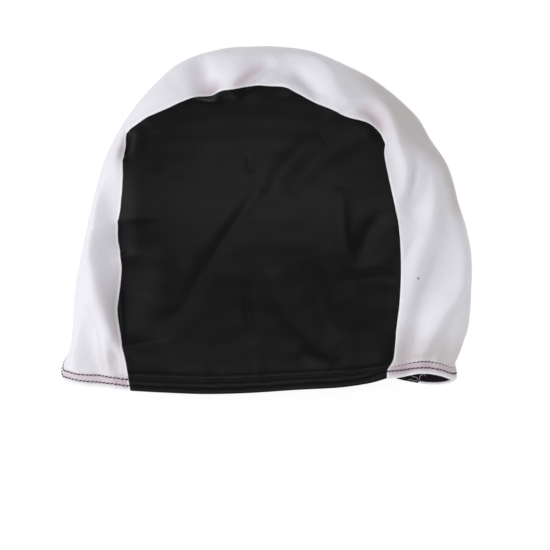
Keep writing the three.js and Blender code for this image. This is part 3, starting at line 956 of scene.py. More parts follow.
def strip_run(line, across, left_share, right_share):
    """One run of the strip: bearing and latitude over line stations and shares across. The first
    half of the way across goes from the near seam's latitude to the widest line, and the second
    from there to the far seam's."""
    bearing = strip_bearing(line, across, left_share, right_share)
    far_bearing = strip_bearing(line, np.ones(1), left_share, right_share)
    far_reach = read_table(FAR_SEAM, "bearing", "radius", far_bearing) / outline_radius(far_bearing)
    upper = line[:, 1:] + (1 - line[:, 1:]) * np.minimum(across * 2, 1)
    lower = 1 + (far_latitude(far_reach) - 1) * np.maximum(across * 2 - 1, 0)
    return np.stack((bearing, np.where(across <= 0.5, upper, lower)), axis=-1)


def strip_runs(across):
    """The strip's left, top and right runs as dense grids of bearing and latitude."""
    fade = np.linspace(1, 0, SEAM_COUNT)
    none = np.zeros(SEAM_COUNT)
    left = strip_run(seam_line(LEFT_SEAM), across, fade, none)
    top = strip_run(seam_line(TOP_SEAM), across, none, none)
    right = strip_run(seam_line(RIGHT_SEAM), across, none, fade)
    return left, top, right


@functools.cache
def strip_cloth():
    """The centre strip: hem, left run, top run, right run and hem, with rows across it."""
    edges = (0, STRIP_WIDTH)
    across = graded(STRIP_WIDTH, edges, SEAM_STEP, STRIP_STEP, SEAM_STEP_SPREAD) / STRIP_WIDTH
    left, top, right = strip_runs(across)
    left_lengths, top_lengths, right_lengths = (
        lengths_along(form(run[..., 0], run[..., 1])) for run in (left, top, right)
    )
    side_shares = np.linspace(0, 1, STRIP_SIDE_ROWS)
    left = rows_up_from_hem(left, left_lengths, side_shares)
    right = rows_up_from_hem(right, right_lengths, side_shares)
    top_shares = np.linspace(0, 1, STRIP_TOP_ROWS)[:, None]
    top = columns_at(top, top_lengths, top_shares * top_lengths[-1])
    grid = np.concatenate((left, top[1:-1], right[::-1]))
    points = form(grid[..., 0], grid[..., 1])
    along = lengths_along(points)
    hem = np.minimum(along, along[-1] - along)
    wide = lengths_along(points.swapaxes(0, 1)).T
    seam = np.minimum(wide, wide[:, -1:] - wide)
    at_left = along < along[-1] / 2
    edge = np.where(at_left[..., None], points[:1], points[-1:])
    left_stitches = count_stitches(points[HEM_MIDDLE_ROW])
    right_stitches = count_stitches(points[-1 - HEM_MIDDLE_ROW])
    stitch = np.where(at_left, left_stitches, right_stitches)
    bearing = grid[..., 0]
    latitude = grid[..., 1]
    return Cloth(bearing, latitude, hem, seam, edge, stitch, True, raised=PRINT_HEIGHT)


def panel_grid(left, right, bottom, top):
    """Fills a panel's four sides in plan, each side blended over the others less the corners."""
    u = np.linspace(0, 1, len(bottom))[None, :, None]
    v = np.linspace(0, 1, len(left))[:, None, None]
    sides = left[:, None] * (1 - u) + right[:, None] * u
    ends = bottom[None] * (1 - v) + top[None] * v
    low = bottom[0] * (1 - u) + bottom[-1] * u
    high = top[0] * (1 - u) + top[-1] * u
    return sides + ends - low * (1 - v) - high * v


def panel_cloth(left, right, bottom, top, latitude_of, step, clockwise):
    """A side panel from its four sides in plan: an even net first, then the graded grid."""
    plan = panel_grid(left, right, bottom, top)
    edges = (0, PANEL_WIDTH)
    across = graded(PANEL_WIDTH, edges, SEAM_STEP, step, SEAM_STEP_SPREAD) / PANEL_WIDTH
    columns = across * (plan.shape[1] - 1)
    low = np.minimum(columns.astype(int), plan.shape[1] - 2)
    part = (columns - low)[None, :, None]
    plan = plan[:, low] * (1 - part) + plan[:, low + 1] * part
    top_edge = (PANEL_DEPTH,)
    shares = graded(PANEL_DEPTH, top_edge, SEAM_STEP, step * 2, SEAM_STEP_SPREAD) / PANEL_DEPTH
    plan = rows_up_from_hem(plan, lengths_along(on_form(plan, latitude_of)), shares)
    points = on_form(plan, latitude_of)
    hem = lengths_along(points)
    wide = lengths_along(points.swapaxes(0, 1)).T
    seam = np.minimum(np.minimum(wide, wide[:, -1:] - wide), hem[-1:] - hem)
    stitch = np.broadcast_to(count_stitches(points[HEM_MIDDLE_ROW]), hem.shape)
    edge = np.broadcast_to(points[:1], points.shape)
    bearing = bearing_of(plan[..., 0], plan[..., 1])
    latitude = latitude_of(reach_of(plan[..., 0], plan[..., 1]))
    return Cloth(bearing, latitude, hem, seam, edge, stitch, clockwise)


@functools.cache
def near_panel_cloth():
    """The side panel that faces up."""
    left, right, bottom, top = (
        plan_curve(rows, SEAM_COUNT) for rows in (LEFT_SEAM, RIGHT_SEAM, NEAR_HEM, TOP_SEAM)
    )
    return panel_cloth(left, right, bottom, top, near_latitude, NEAR_PANEL_STEP, False)


@functools.cache
def far_panel_cloth():
    """The side panel on the floor. Its seamed edges are where the strip ends."""
    left, top, right = (
        form(run[:, 0, 0], run[:, 0, 1])[:, :2] for run in strip_runs(np.ones(1))
    )
    hem = {
        name: np.array((left[0][k], *FAR_HEM_MIDDLE[name], right[0][k]))
        for k, name in enumerate(("x", "y"))
    }
    bottom = plan_curve(hem, SEAM_COUNT)
    left, top, right = (resample(side, SEAM_COUNT) for side in (left, top, right))
    return panel_cloth(left, right, bottom, top, far_latitude, FAR_PANEL_STEP, True)


def put_mesh(name, vertices, *face_arrays):
    """A new smooth object from vertices in millimetres and arrays of faces, each of which holds
    faces with one number of corners."""
    mesh = bpy.data.meshes.new(name)
    faces = sum((rows.tolist() for rows in face_arrays), [])
    mesh.from_pydata((vertices * MM).tolist(), [], faces)
    mesh.polygons.foreach_set("use_smooth", np.ones(len(mesh.polygons), bool))
    mesh.update()
    piece = bpy.data.objects.new(name, mesh)
    bpy.context.scene.collection.objects.link(piece)
    return piece


def grid_faces(numbers, clockwise):
    """Four-sided faces over a grid of vertex numbers."""
    corners = (numbers[:-1, :-1], numbers[:-1, 1:], numbers[1:, 1:], numbers[1:, :-1])
    faces = np.stack(corners, axis=-1).reshape(-1, 4)
    return faces[:, ::-1] if clockwise else faces


def outside_and_inside(grid):
    """Values of a cloth's grid for the vertices of its outer face, and then for those of its inner
    face, which shares the outer one's edges."""
    shape = (-1, *grid.shape[2:])
    return np.concatenate((grid.reshape(shape), grid[1:-1, 1:-1].reshape(shape)))


def put_cloth(name, cloth):
    """Closed shell of a cloth: its outer grid, and its inner grid joined to it at the edges. Each
    vertex keeps its distances, its painted fold shade and its painted shade, and each corner its
    place in the grain."""
    rows, columns = cloth.hem.shape
    outer = np.arange(rows * columns).reshape(rows, columns)
    inner = outer.copy()
    inner[1:-1, 1:-1] = outer.size + np.arange((rows - 2) * (columns - 2)).reshape(rows - 2, -1)
    inner_points = cloth.inner[1:-1, 1:-1].reshape(-1, 3)
    vertices = np.concatenate((cloth.outer.reshape(-1, 3), inner_points))
    outer_faces = grid_faces(outer, cloth.clockwise)
    inner_faces = grid_faces(inner, not cloth.clockwise)
    piece = put_mesh(name, vertices, outer_faces, inner_faces)
    mesh = piece.data
    fields = {
        label: outside_and_inside(getattr(cloth, label))
        for label in ("hem", "seam", "fold_shade", "shade")
    }
    fields["lining"] = (np.arange(len(vertices)) >= outer.size) * 1.0
    for label, values in fields.items():
        mesh.attributes.new(label, "FLOAT", "POINT").data.foreach_set("value", values)
    corner_vertices = np.empty(len(mesh.loops), int)
    mesh.loops.foreach_get("vertex_index", corner_vertices)
    grain = outside_and_inside(cloth.grain)[corner_vertices]
    mesh.uv_layers.new(name="grain").data.foreach_set("uv", grain.ravel())
    return piece


class HemBand:
    """The hem all round the mouth as one closed band, read by stitch and distance from the edge."""

    def __init__(self):
        near = near_panel_cloth()
        far = far_panel_cloth()
        strip = strip_cloth()
        count = len(HEM_ROW_PLACES)
        first_rows = slice(0, count)
        last_rows = slice(-1, -count - 1, -1)
        forwards = slice(None)
        backwards = slice(None, None, -1)
        parts = (
            (near, first_rows, forwards),
            (strip, last_rows, forwards),
            (far, first_rows, backwards),
            (strip, first_rows, backwards),
        )
        inner_columns = slice(BAND_MARGIN, -BAND_MARGIN)
        grids = {"outer": [], "inner": [], "normals": []}
        stitch = []
        stitches = 0
        for part, rows, columns in parts:
            counts = part.stitch[rows, columns][0]
            counts = np.abs(counts - counts[0]) + stitches
            stitches = round(float(counts[-1]))
            stitch.append(counts[inner_columns])
            for name, bands in grids.items():
                bands.append(getattr(part, name)[rows, columns][:, inner_columns])
        self.count = stitches
        self.stitch = np.concatenate((*stitch, stitch[0][:1] + stitches))
        self.outer, self.inner, self.normals = (
            np.concatenate((*bands, bands[0][:, :1]), axis=1) for bands in grids.values()
        )

    def read(self, grid, stitch, distance):
        """A grid of the band at places given as stitch counts and distances from the edge."""
        start = self.stitch[0]
        stitch = (stitch - start) % self.count + start
        column = np.interp(stitch, self.stitch, np.arange(len(self.stitch)))
        row = np.interp(distance, HEM_ROW_PLACES, np.arange(len(HEM_ROW_PLACES)))
        i = np.minimum(column.astype(int), grid.shape[1] - 2)
        j = np.minimum(row.astype(int), grid.shape[0] - 2)
        s = (column - i)[..., None]
        t = (row - j)[..., None]
        low = grid[j, i] * (1 - s) + grid[j, i + 1] * s
        high = grid[j + 1, i] * (1 - s) + grid[j + 1, i + 1] * s
        return low * (1 - t) + high * t


@functools.cache
def hem_band():
    """The cap's one hem band, put together on its first use."""
    return HemBand()


def strands(name, paths, normals, radius, sides=5):
    """Threads: a ring of sides about each point of each path, closed by a point at both ends.

    paths and normals are strands by points by three. radius may vary from point to point."""
    tangents = unit(np.gradient(paths, axis=1))
    beside = unit(np.cross(tangents, normals))
    above = np.cross(beside, tangents)
    angles = np.arange(sides)[:, None] * (2 * math.pi / sides)
    radius = np.broadcast_to(radius, paths.shape[:2])[..., None, None]
    ring = beside[:, :, None] * np.cos(angles) + above[:, :, None] * np.sin(angles)
    rings = paths[:, :, None] + ring * radius
    tips = (
        paths[:, 0] - tangents[:, 0] * radius[:, 0, 0] * TIP_LENGTH,
        paths[:, -1] + tangents[:, -1] * radius[:, -1, 0] * TIP_LENGTH,
    )
    vertices = np.concatenate((rings.reshape(-1, 3), *tips))
    body = np.arange(rings.size // 3).reshape(rings.shape[:3])
    turned = np.roll(body, -1, axis=2)
    walls = np.stack((body[:, :-1], turned[:, :-1], turned[:, 1:], body[:, 1:]), axis=-1)
    first = body.size + np.arange(len(paths))[:, None]
    last = first + len(paths)
    start_cap = np.stack((np.broadcast_to(first, body[:, 0].shape), turned[:, 0], body[:, 0]), -1)
    end_cap = np.stack((np.broadcast_to(last, body[:, -1].shape), body[:, -1], turned[:, -1]), -1)
    caps = np.concatenate((start_cap, end_cap))
    return put_mesh(name, vertices, walls.reshape(-1, 4), caps.reshape(-1, 3))


def put_tube(name, rings, clockwise):
    """A closed tube from rings of vertices, with a point in the middle of each end."""
    ring_count, sides = rings.shape[:2]
    numbers = np.arange(ring_count * sides).reshape(ring_count, sides)
    walls = grid_faces(np.concatenate((numbers, numbers[:, :1]), axis=1), clockwise)
    vertices = np.concatenate((rings.reshape(-1, 3), rings[[0, -1]].mean(axis=1)))
    first = np.stack((np.roll(numbers[0], -1), numbers[0], np.full(sides, numbers.size)), -1)
    last = np.stack((numbers[-1], np.roll(numbers[-1], -1), np.full(sides, numbers.size + 1)), -1)
    caps = np.concatenate((first, last))
    return put_mesh(name, vertices, walls, caps[:, ::-1] if clockwise else caps)


def beside_seam(near, distance, depth):
    """Places under the strip at the given distances from its near or far seam and depths under
    the cloth, and the strip's normals there: one row of them for each row of the strip that the
    seam allowances reach."""
    strip = strip_cloth()
    half = strip.seam.shape[1] // 2
    columns = slice(0, half) if near else slice(-1, -half - 1, -1)
    kept = strip.hem[:, columns][:, 0] > ALLOWANCE_FROM_HEM
    seam = strip.seam[kept, columns]
    fields = np.concatenate((strip.inner, strip.normals), axis=-1)[kept, columns]
    rows = [
        [np.interp(distance, row_seam, field) for field in row_fields.T]
        for row_seam, row_fields in zip(seam, fields)
    ]
    read = np.transpose(np.array(rows), (0, 2, 1))
    normals = unit(read[..., 3:])
    return read[..., :3] - normals * depth[:, None], normals


def allowance_rings(near, width):
    """Rings of a seam allowance beside one seam, oblong with round ends."""
    turn = np.linspace(0, 2 * math.pi, SECTION_POINTS, endpoint=False)
    squarish_sine = np.sign(np.sin(turn)) * np.sqrt(np.abs(np.sin(turn)))
    distance = ALLOWANCE_START + width * (0.5 - 0.5 * np.cos(turn))
    depth = ALLOWANCE_GAP + ALLOWANCE_THICKNESS * (0.5 - 0.5 * squarish_sine)
    return beside_seam(near, distance, depth)[0]


def overlock_helix(near, width, pitch):
    """Path of the overlocking thread, a helix round a seam allowance, and the strip's normals
    along it."""
    middle_depth = ALLOWANCE_GAP + ALLOWANCE_THICKNESS / 2
    middle, _ = beside_seam(near, np.array((width / 2,)), np.array((middle_depth,)))
    lengths = lengths_along(middle[:, 0])
    turns = round(lengths[-1] / pitch)
    at = np.linspace(0, lengths[-1], turns * OVERLOCK_POINTS)
    angle = np.linspace(0, 2 * math.pi * turns, len(at))
    distance = ALLOWANCE_START + width * (0.5 - OVERLOCK_BREADTH * np.cos(angle))
    depth = ALLOWANCE_GAP + ALLOWANCE_THICKNESS * (0.5 - OVERLOCK_RISE * np.sin(angle))
    places, normals = beside_seam(near, distance, depth)
    row = np.interp(at, lengths, np.arange(len(lengths)))
    low = np.minimum(row.astype(int), len(lengths) - 2)
    part = (row - low)[:, None]
    point = np.arange(len(row))
    helix = places[low, point] * (1 - part) + places[low + 1, point] * part
    return helix, unit(normals[low, point] * (1 - part) + normals[low + 1, point] * part)


class Value:
    """A number in a shader, wrapped so that Python's operators add its Math nodes."""

    def __init__(self, tree, socket):
        self.tree = tree
        self.socket = socket

    def math(self, operation, *others):
        node = self.tree.nodes.new("ShaderNodeMath")
        node.operation = operation
        for socket, value in zip(node.inputs, (self, *others)):
            connect(self.tree, socket, value)
        return Value(self.tree, node.outputs[0])

    def __add__(self, other):
        return self.math("ADD", other)

    def __radd__(self, other):
        return self.math("ADD", other)

    def __sub__(self, other):
        return self.math("SUBTRACT", other)

    def __rsub__(self, other):
        return self.math("MULTIPLY", -1.0).math("ADD", other)

    def __mul__(self, other):
        return self.math("MULTIPLY", other)

    def __rmul__(self, other):
        return self.math("MULTIPLY", other)

    def clamped(self):
        return self.math("MAXIMUM", 0.0).math("MINIMUM", 1.0)

    def absolute(self):
        return self.math("ABSOLUTE")

    def wave(self, pitch):
        """Sine of the value with the given pitch, from -1 to 1."""
        return self.math("MULTIPLY", 2 * math.pi / pitch).math("SINE")


def connect(tree, socket, value):
    """Sets a socket to a number or colour, or links it to another socket or a Value."""
    if isinstance(value, Value):
        value = value.socket
    if isinstance(value, bpy.types.NodeSocket):
        tree.links.new(value, socket)
    else:
        socket.default_value = value


class Finish:
    """A material being made. Nodes come from one method that takes type, settings and inputs."""

    def __init__(self, name):
        self.material = bpy.data.materials.new(name)
        self.material.use_nodes = True
        self.tree = self.material.node_tree
        self.shader = self.tree.nodes["Principled BSDF"]

    def node(self, kind, settings=None, inputs=None):
        node = self.tree.nodes.new(kind)
        for name, value in (settings or {}).items():
            setattr(node, name, value)
        for name, value in (inputs or {}).items():
            connect(self.tree, node.inputs[name], value)
        return node

    def value(self, socket):
        return Value(self.tree, socket)

    def attribute(self, name):
        return self.value(self.node("ShaderNodeAttribute", {"attribute_name": name}).outputs["Fac"])

    def place(self):
        """Place on the piece, in its object's own metres."""
        return self.node("ShaderNodeTexCoord").outputs["Object"]

    def noise(self, place, scale, detail=2.0):
        inputs = {"Vector": place, "Scale": scale, "Detail": detail}
        return self.value(self.node("ShaderNodeTexNoise", {}, inputs).outputs["Fac"])

    def tinted(self, colour, amount, tint):
        """The colour with a tint over it, none at 0 and the tint alone at 1."""
        node = self.node("ShaderNodeMix", {"data_type": "RGBA"})
        factor, first, second = (node.inputs[k] for k in MIX_COLOUR_INPUTS)
        connect(self.tree, factor, amount.clamped())
        connect(self.tree, first, colour)
        connect(self.tree, second, (*tint, 1))
        return node.outputs[MIX_COLOUR_OUTPUT]

    def bump(self, height, depth):
        node = self.node("ShaderNodeBump", {}, {"Height": height, "Distance": depth})
        self.set(Normal=node.outputs["Normal"])

    def set(self, **sockets):
        for name, value in sockets.items():
            connect(self.tree, self.shader.inputs[name.replace("_", " ")], value)


def knit_relief(finish):
    """Fine wales with slanted courses across them, in the cloth's own millimetres."""
    grain = finish.node("ShaderNodeUVMap", {"uv_map": "grain"}).outputs["UV"]
    split = finish.node("ShaderNodeSeparateXYZ", {}, {"Vector": grain})
    across = finish.value(split.outputs["X"])
    along = finish.value(split.outputs["Y"])
    wales = across.wave(WALE_PITCH)
    courses = (along + across * COURSE_SLANT).wave(COURSE_PITCH)
    noise = finish.noise(grain, KNIT_NOISE)
    return wales * WALE_SHARE + courses * COURSE_SHARE + noise * KNIT_NOISE_SHARE


def speck_amount(finish, place):
    """Strength of the grey speck: full within its radius in plan, none past twice that, and only
    on the side that faces up."""
    split = finish.node("ShaderNodeSeparateXYZ", {}, {"Vector": place})
    in_plan = {name: split.outputs[name] for name in "XY"}
    level = finish.node("ShaderNodeCombineXYZ", {}, in_plan).outputs["Vector"]
    ends = {0: level, 1: (*SPECK_PLACE, 0)}
    gap = finish.node("ShaderNodeVectorMath", {"operation": "DISTANCE"}, ends).outputs["Value"]
    above = (finish.value(split.outputs["Z"]) - WIDEST_HEIGHT * MM) * (1 / MM)
    near = 2.0 - finish.value(gap) * (1 / SPECK_RADIUS)
    return near.clamped() * above.clamped() * SPECK_STRENGTH


def white_knit(colours):
    """Pearly white satin knit, pinker beside the seams and in the hem's band, with pink shade
    painted in the folds near the seams, painted shade on the upper right rim and over the hem's
    ends, and a painted highlight on its turned edges. The hem's raw edge inside is covered in dark
    thread."""
    finish = Finish("white_knit")
    place = finish.place()
    seam, hem, painted_fold_shade, painted_shade, lining = (
        finish.attribute(name) for name in ("seam", "hem", "fold_shade", "shade", "lining")
    )
    clouds = finish.noise(place, WHITE_CLOUDS)
    grain = finish.noise(place, PINK_GRAIN)
    # Pink beside the seams: partly the dark seam allowance showing through, partly painted shade.
    by_seam = (1.0 - seam * (1 / PINK_BY_SEAM)).clamped() * (clouds * SEAM_PINK)
    from_middle = (hem - PINK_BAND_MIDDLE).absolute()
    grainy = BAND_PINK + grain * BAND_GRAIN_PINK
    between_rows = (PINK_BAND_HALF - from_middle).clamped() * grainy
    on_lip = (PINK_LIP - hem).clamped() * LIP_PINK
    # The band is pinker still where shade is painted.
    in_band = (between_rows + on_lip) * (1.0 + painted_shade * PAINTED_SHADE_PINK)
    # Painted highlight on the turned edges beside the seams and at the hem.
    turned = (SEAM_HIGHLIGHT_REACH - seam).clamped() + (HEM_HIGHLIGHT_REACH - hem).clamped()
    cover_start, cover_end = LOOPER_COVER
    covered = (hem - cover_start).clamped() * (cover_end - hem).clamped() * lining

    colour = (*colours.white_cloth, 1)
    # Pink beside the seams and in the hem's band, and pink shade painted in the folds.
    colour = finish.tinted(colour, by_seam + painted_fold_shade + in_band, colours.pink_tint_and_shade)
    # Painted shade on the rim at the upper right and over the hem's ends, varied by the clouds.
    painted_shade_amount = painted_shade * (PAINTED_SHADE_STRENGTH + PAINTED_SHADE_CLOUDS * clouds)
    colour = finish.tinted(colour, painted_shade_amount, colours.rim_shade)
    colour = finish.tinted(colour, turned, colours.painted_edge_highlight)
    colour = finish.tinted(colour, covered, colours.hem_thread)
    colour = finish.tinted(colour, speck_amount(finish, place), SPECK_COLOUR)
    finish.set(Base_Color=colour, Roughness=WHITE_ROUGHNESS + clouds * CLOUDS_ROUGHNESS)
    finish.set(Specular_IOR_Level=0.3, Sheen_Weight=0.1, Sheen_Roughness=0.4)
    finish.bump(knit_relief(finish), KNIT_DEPTH)
    return finish.material


def black_knit(colours):
    """Black stretch knit with a soft bluish sheen in cloudy areas."""
    finish = Finish("black_knit")
    clouds = finish.noise(finish.place(), BLACK_CLOUDS)
    colour = finish.tinted((*colours.black_cloth, 1), clouds, colours.black_sheen)
    finish.set(Base_Color=colour, Roughness=BLACK_ROUGHNESS + clouds * CLOUDS_ROUGHNESS)
    finish.set(Specular_IOR_Level=0.11, Sheen_Weight=0.03, Sheen_Roughness=0.35)
    finish.bump(knit_relief(finish), KNIT_DEPTH)
    return finish.material


def thread_finish(name, colour):
    """Spun thread: a fine fuzz in its colour, roughness and relief, with shade painted in its
    hollows.
    """
    finish = Finish(name)
    fuzz = finish.noise(finish.place(), FUZZ_SCALE, FUZZ_DETAIL)
    hollow_shade = tuple(channel * FUZZ_HOLLOW_SHADE for channel in colour)
    finish.set(Base_Color=finish.tinted((*hollow_shade, 1), fuzz, colour))
    finish.set(Roughness=THREAD_ROUGHNESS + fuzz * FUZZ_ROUGHNESS, Specular_IOR_Level=0.2)
    finish.bump(fuzz, FUZZ_DEPTH)
    return finish.material


def colour_property(name, description, default):
    return bpy.props.FloatVectorProperty(
        name=name, description=description, default=default, subtype="COLOR", min=0, max=1, size=3
    )


class CapColours(bpy.types.PropertyGroup):
    """Colours of the cap's cloth and thread, as linear values."""

    white_cloth: colour_property("White cloth", "Colour of the strip", (0.84, 0.83, 0.88))
    # Pink where dark cloth and thread show through, also used for the pink shade painted in folds.
    pink_tint_and_shade: colour_property("Blush", "Strip beside dark cloth and thread", (0.62, 0.48, 0.545))
    # Colour of the painted shade on the strip's rim and over the hem's ends.
    rim_shade: colour_property("Rim shade", "Dull part of the strip's rim", (0.66, 0.62, 0.62))
    # Painted highlight along the strip's turned edges.
    painted_edge_highlight: colour_property("White edge", "Turned edges of the strip", (0.95, 0.94, 0.96))
    black_cloth: colour_property("Black cloth", "Colour of the panels", (0.0034, 0.0034, 0.0040))
    black_sheen: colour_property("Black sheen", "Lighter areas of it", (0.0046, 0.0048, 0.0056))
    hem_thread: colour_property("Hem thread", "Thread of the hem", (0.018, 0.007, 0.015))
    seam_thread: colour_property("Seam thread", "Overlocking thread", (0.72, 0.66, 0.71))
    floor: colour_property("Floor", "Colour of the floor", (0.2, 0.2, 0.2))


class CapThread(bpy.types.PropertyGroup):
    """Sizes of the thread work."""

    hem_thread: bpy.props.FloatProperty(
        name="Hem thread",
        description="Diameter of the thread in the hem's two rows of stitches",
        default=0.0006,
        unit="LENGTH",
    )
    looper_thread: bpy.props.FloatProperty(
        name="Looper thread",
        description="Diameter of the thread looped over the hem's raw edge inside",
        default=0.0005,
        unit="LENGTH",
    )
    overlock_pitch: bpy.props.FloatProperty(
        name="Overlock pitch",
        description="Distance from one turn of the overlocking thread to the next",
        default=0.0017,
        unit="LENGTH",
    )
    allowance_width: bpy.props.FloatProperty(
        name="Seam allowance",
        description="Width of the overlocked edges inside the seams",
        default=0.0054,
        unit="LENGTH",
    )


class StudioLook(bpy.types.PropertyGroup):
    """Light and camera."""

    key_power: bpy.props.FloatProperty(
        name="Key light", description="Power of the light at the left", default=25.0, unit="POWER"
    )
    top_power: bpy.props.FloatProperty(
        name="Top light", description="Power of the light overhead", default=56.0, unit="POWER"
    )
    fill_power: bpy.props.FloatProperty(
        name="Fill light", description="Power of the light at the mouth", default=5.0, unit="POWER"
    )
    floor_glow: bpy.props.FloatProperty(
        name="Floor glow", description="Light that the floor gives off", default=0.87
    )
    room_light: bpy.props.FloatProperty(
        name="Room light", description="Strength of the light from all round", default=0.18
    )
    camera_height: bpy.props.FloatProperty(
        name="Camera height", description="Height over the floor", default=2.4, unit="LENGTH"
    )


def add_piece(piece, finish, replaces=None):
    """Gives a piece its finish, hangs it on the root body that it rides on, and hides the imported
    part that it stands for.
    """
    piece.data.materials.append(finish)
    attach(piece, "root")
    if replaces:
        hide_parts(replaces)


class SWIMCAP_OT_side_panels(bpy.types.Operator):
    """Make the black side panels: the one that faces up and the one on the floor"""

    bl_idname = "swimcap.side_panels"
    bl_label = "Side Panels"

    def execute(self, context):
        finish = black_knit(context.scene.cap_colours)
        near = put_cloth("near_side_panel_cloth", near_panel_cloth())
        add_piece(near, finish, "near_side_panel")
        far = put_cloth("far_side_panel_cloth", far_panel_cloth())
        add_piece(far, finish, "far_side_panel")
        return {"FINISHED"}


class SWIMCAP_OT_centre_strip(bpy.types.Operator):
    """Make the white strip that runs over the crown from hem to hem"""

    bl_idname = "swimcap.centre_strip"
    bl_label = "Centre Strip"

    def execute(self, context):
        piece = put_cloth("centre_strip_cloth", strip_cloth())
        finish = white_knit(context.scene.cap_colours)
        add_piece(piece, finish, "centre_strip")
        return {"FINISHED"}


class SWIMCAP_OT_hem_stitches(bpy.types.Operator):
    """Make the two rows of stitches round the mouth"""

    bl_idname = "swimcap.hem_stitches"
    bl_label = "Hem Stitches"

    def execute(self, context):
        band = hem_band()
        radius = context.scene.cap_thread.hem_thread / MM / 2
        finish = thread_finish("hem_thread", tuple(context.scene.cap_colours.hem_thread))
        part = np.linspace(*STITCH_SHARE, STITCH_POINTS)
        from_middle = np.abs(2 * part - 1)
        stitch = np.arange(band.count)[:, None] + part
        for number, row in enumerate(STITCH_ROWS, 1):
            x = band.read(band.outer, stitch, np.full(stitch.shape, row[0]))[..., 0]
            distance = stitch_distance(row, x) + STITCH_SLANT * (part - 0.5)
            normals = unit(band.read(band.normals, stitch, distance))
            relief = 1 - SUNK_RELIEF * bell(x - RELIEF_X, RELIEF_SPREAD)
            sunk = SUNK_DEPTH * smoothstep(x, *SUNK_START) * relief
            bow = STITCH_BOW - STITCH_DIP * from_middle**4 - sunk * (number - 1)
            paths = band.read(band.outer, stitch, distance) + normals * bow[..., None]
            paths[..., 2] = np.maximum(paths[..., 2], radius)
            thin = radius * (1 - STITCH_THINNING * from_middle**3)
            piece = strands(f"hem_stitches_{number}", paths, normals, thin, sides=6)
            add_piece(piece, finish)
        return {"FINISHED"}


class SWIMCAP_OT_hem_loopers(bpy.types.Operator):
    """Make the thread looped over the raw edge inside the hem"""

    bl_idname = "swimcap.hem_loopers"
    bl_label = "Hem Loopers"

    def execute(self, context):
        band = hem_band()
        radius = context.scene.cap_thread.looper_thread / MM / 2
        finish = bpy.data.materials["hem_thread"]
        stitch = np.linspace(0, band.count, band.count * LOOPER_POINTS + 1)[None]
        turn = 2 * math.pi * (stitch + np.arange(LOOPER_STRANDS)[:, None] / LOOPER_STRANDS)
        distance = LOOPER_PLACE + LOOPER_SWING * np.sin(turn)
        stitch = np.broadcast_to(stitch, distance.shape)
        normals = unit(band.read(band.normals, stitch, distance))
        height = LOOPER_HEIGHT + LOOPER_WEAVE * np.cos(2 * turn)
        paths = band.read(band.inner, stitch, distance) - normals * height[..., None]
        add_piece(strands("hem_loopers", paths, normals, radius), finish)
        return {"FINISHED"}


class SWIMCAP_OT_seam_allowances(bpy.types.Operator):
    """Make the overlocked edges inside the seams, with their thread and its loose ends"""

    bl_idname = "swimcap.seam_allowances"
    bl_label = "Seam Allowances"

    def execute(self, context):
        thread = context.scene.cap_thread
        width = thread.allowance_width / MM
        pitch = thread.overlock_pitch / MM
        black = bpy.data.materials["black_knit"]
        finish = thread_finish("seam_thread", tuple(context.scene.cap_colours.seam_thread))
        for near, side in ((True, "near"), (False, "far")):
            band = put_tube(f"{side}_seam_allowance", allowance_rings(near, width), not near)
            add_piece(band, black)
            helix, above = overlock_helix(near, width, pitch)
            name = f"{side}_seam_overlock"
            add_piece(strands(name, helix[None], above[None], OVERLOCK_RADIUS), finish)
        seam_end = strip_cloth().inner[-1, -1]
        tails = np.array([spline(seam_end + np.array(tail), TAIL_POINTS) for tail in THREAD_TAILS])
        upwards = np.broadcast_to(unit(TAIL_UP), tails.shape)
        loose = strands("thread_tails", tails, upwards, OVERLOCK_RADIUS)
        add_piece(loose, finish)
        return {"FINISHED"}


def area_light(name, place, size, power):
    """A large square light that shines from its place to the middle of the cap."""
    light = bpy.data.lights.new(name, "AREA")
    light.energy = power
    light.size = size
    light.color = LAMP_COLOUR
    lamp = bpy.data.objects.new(name, light)
    bpy.context.scene.collection.objects.link(lamp)
    lamp.location = place
    direction = mathutils.Vector(CAP_MIDDLE) - mathutils.Vector(place)
    lamp.rotation_euler = direction.to_track_quat("-Z", "Y").to_euler()
    lamp.visible_camera = False


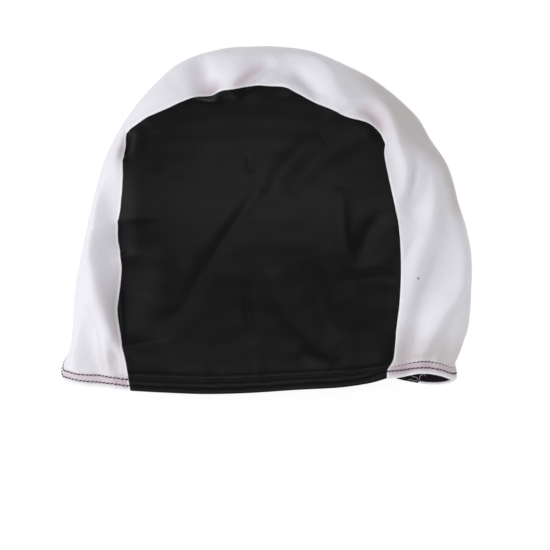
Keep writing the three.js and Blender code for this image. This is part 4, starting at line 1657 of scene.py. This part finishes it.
class SWIMCAP_OT_stage(bpy.types.Operator):
    """Make the floor, the light and the camera"""

    bl_idname = "swimcap.stage"
    bl_label = "Stage"

    def execute(self, context):
        scene = context.scene
        look = scene.studio_look
        scene.view_settings.view_transform = "Standard"
        bpy.ops.mesh.primitive_plane_add(size=FLOOR_SIZE, location=(0, 0, -FLOOR_DROP))
        floor = context.object
        floor.name = "floor"
        finish = Finish("floor")
        finish.set(Base_Color=(*scene.cap_colours.floor, 1), Roughness=1.0)
        finish.set(Specular_IOR_Level=0.0)
        finish.set(Emission_Color=(1, 1, 1, 1), Emission_Strength=look.floor_glow)
        floor.data.materials.append(finish.material)

        world = bpy.data.worlds.new("studio")
        scene.world = world
        world.use_nodes = True
        background = world.node_tree.nodes["Background"]
        background.inputs["Color"].default_value = (*ROOM_COLOUR, 1)
        background.inputs["Strength"].default_value = look.room_light
        area_light("key_light", KEY_PLACE, KEY_SIZE, look.key_power)
        area_light("fill_light", FILL_PLACE, FILL_SIZE, look.fill_power)
        area_light("top_light", TOP_PLACE, TOP_SIZE, look.top_power)

        camera = bpy.data.objects.new("camera", bpy.data.cameras.new("camera"))
        scene.collection.objects.link(camera)
        scene.camera = camera
        offset = (PHOTO_CENTRE - CAP_CENTRE) * (PIXEL_SIZE, -PIXEL_SIZE) * MM
        camera.location = (offset[0], offset[1], look.camera_height)
        distance = look.camera_height - SIZED_HEIGHT * MM
        camera.data.sensor_width = SENSOR_WIDTH
        camera.data.lens = SENSOR_WIDTH * distance / (PHOTO_WIDTH * PIXEL_SIZE * MM)
        camera.data.clip_end = VIEW_END
        return {"FINISHED"}


PIECES = (
    SWIMCAP_OT_stage,
    SWIMCAP_OT_side_panels,
    SWIMCAP_OT_centre_strip,
    SWIMCAP_OT_hem_stitches,
    SWIMCAP_OT_hem_loopers,
    SWIMCAP_OT_seam_allowances,
)


class SWIMCAP_PT_pieces(bpy.types.Panel):
    """The cap's pieces, one button each"""

    bl_idname = "SWIMCAP_PT_pieces"
    bl_label = "Swim Cap"
    bl_space_type = "VIEW_3D"
    bl_region_type = "UI"
    bl_category = "Swim Cap"

    def draw(self, context):
        for piece in PIECES:
            self.layout.operator(piece.bl_idname)


SETTINGS = {"cap_colours": CapColours, "cap_thread": CapThread, "studio_look": StudioLook}


def register():
    for item in (*SETTINGS.values(), *PIECES, SWIMCAP_PT_pieces):
        bpy.utils.register_class(item)
    for name, group in SETTINGS.items():
        setattr(bpy.types.Scene, name, bpy.props.PointerProperty(type=group))


def unregister():
    for name in SETTINGS:
        delattr(bpy.types.Scene, name)
    for item in (SWIMCAP_PT_pieces, *reversed(PIECES), *reversed(SETTINGS.values())):
        bpy.utils.unregister_class(item)


def main():
    register()
    bpy.ops.swimcap.stage()
    bpy.ops.swimcap.side_panels()
    bpy.ops.swimcap.centre_strip()
    bpy.ops.swimcap.hem_stitches()
    bpy.ops.swimcap.hem_loopers()
    bpy.ops.swimcap.seam_allowances()


if __name__ == "__main__":
    main()
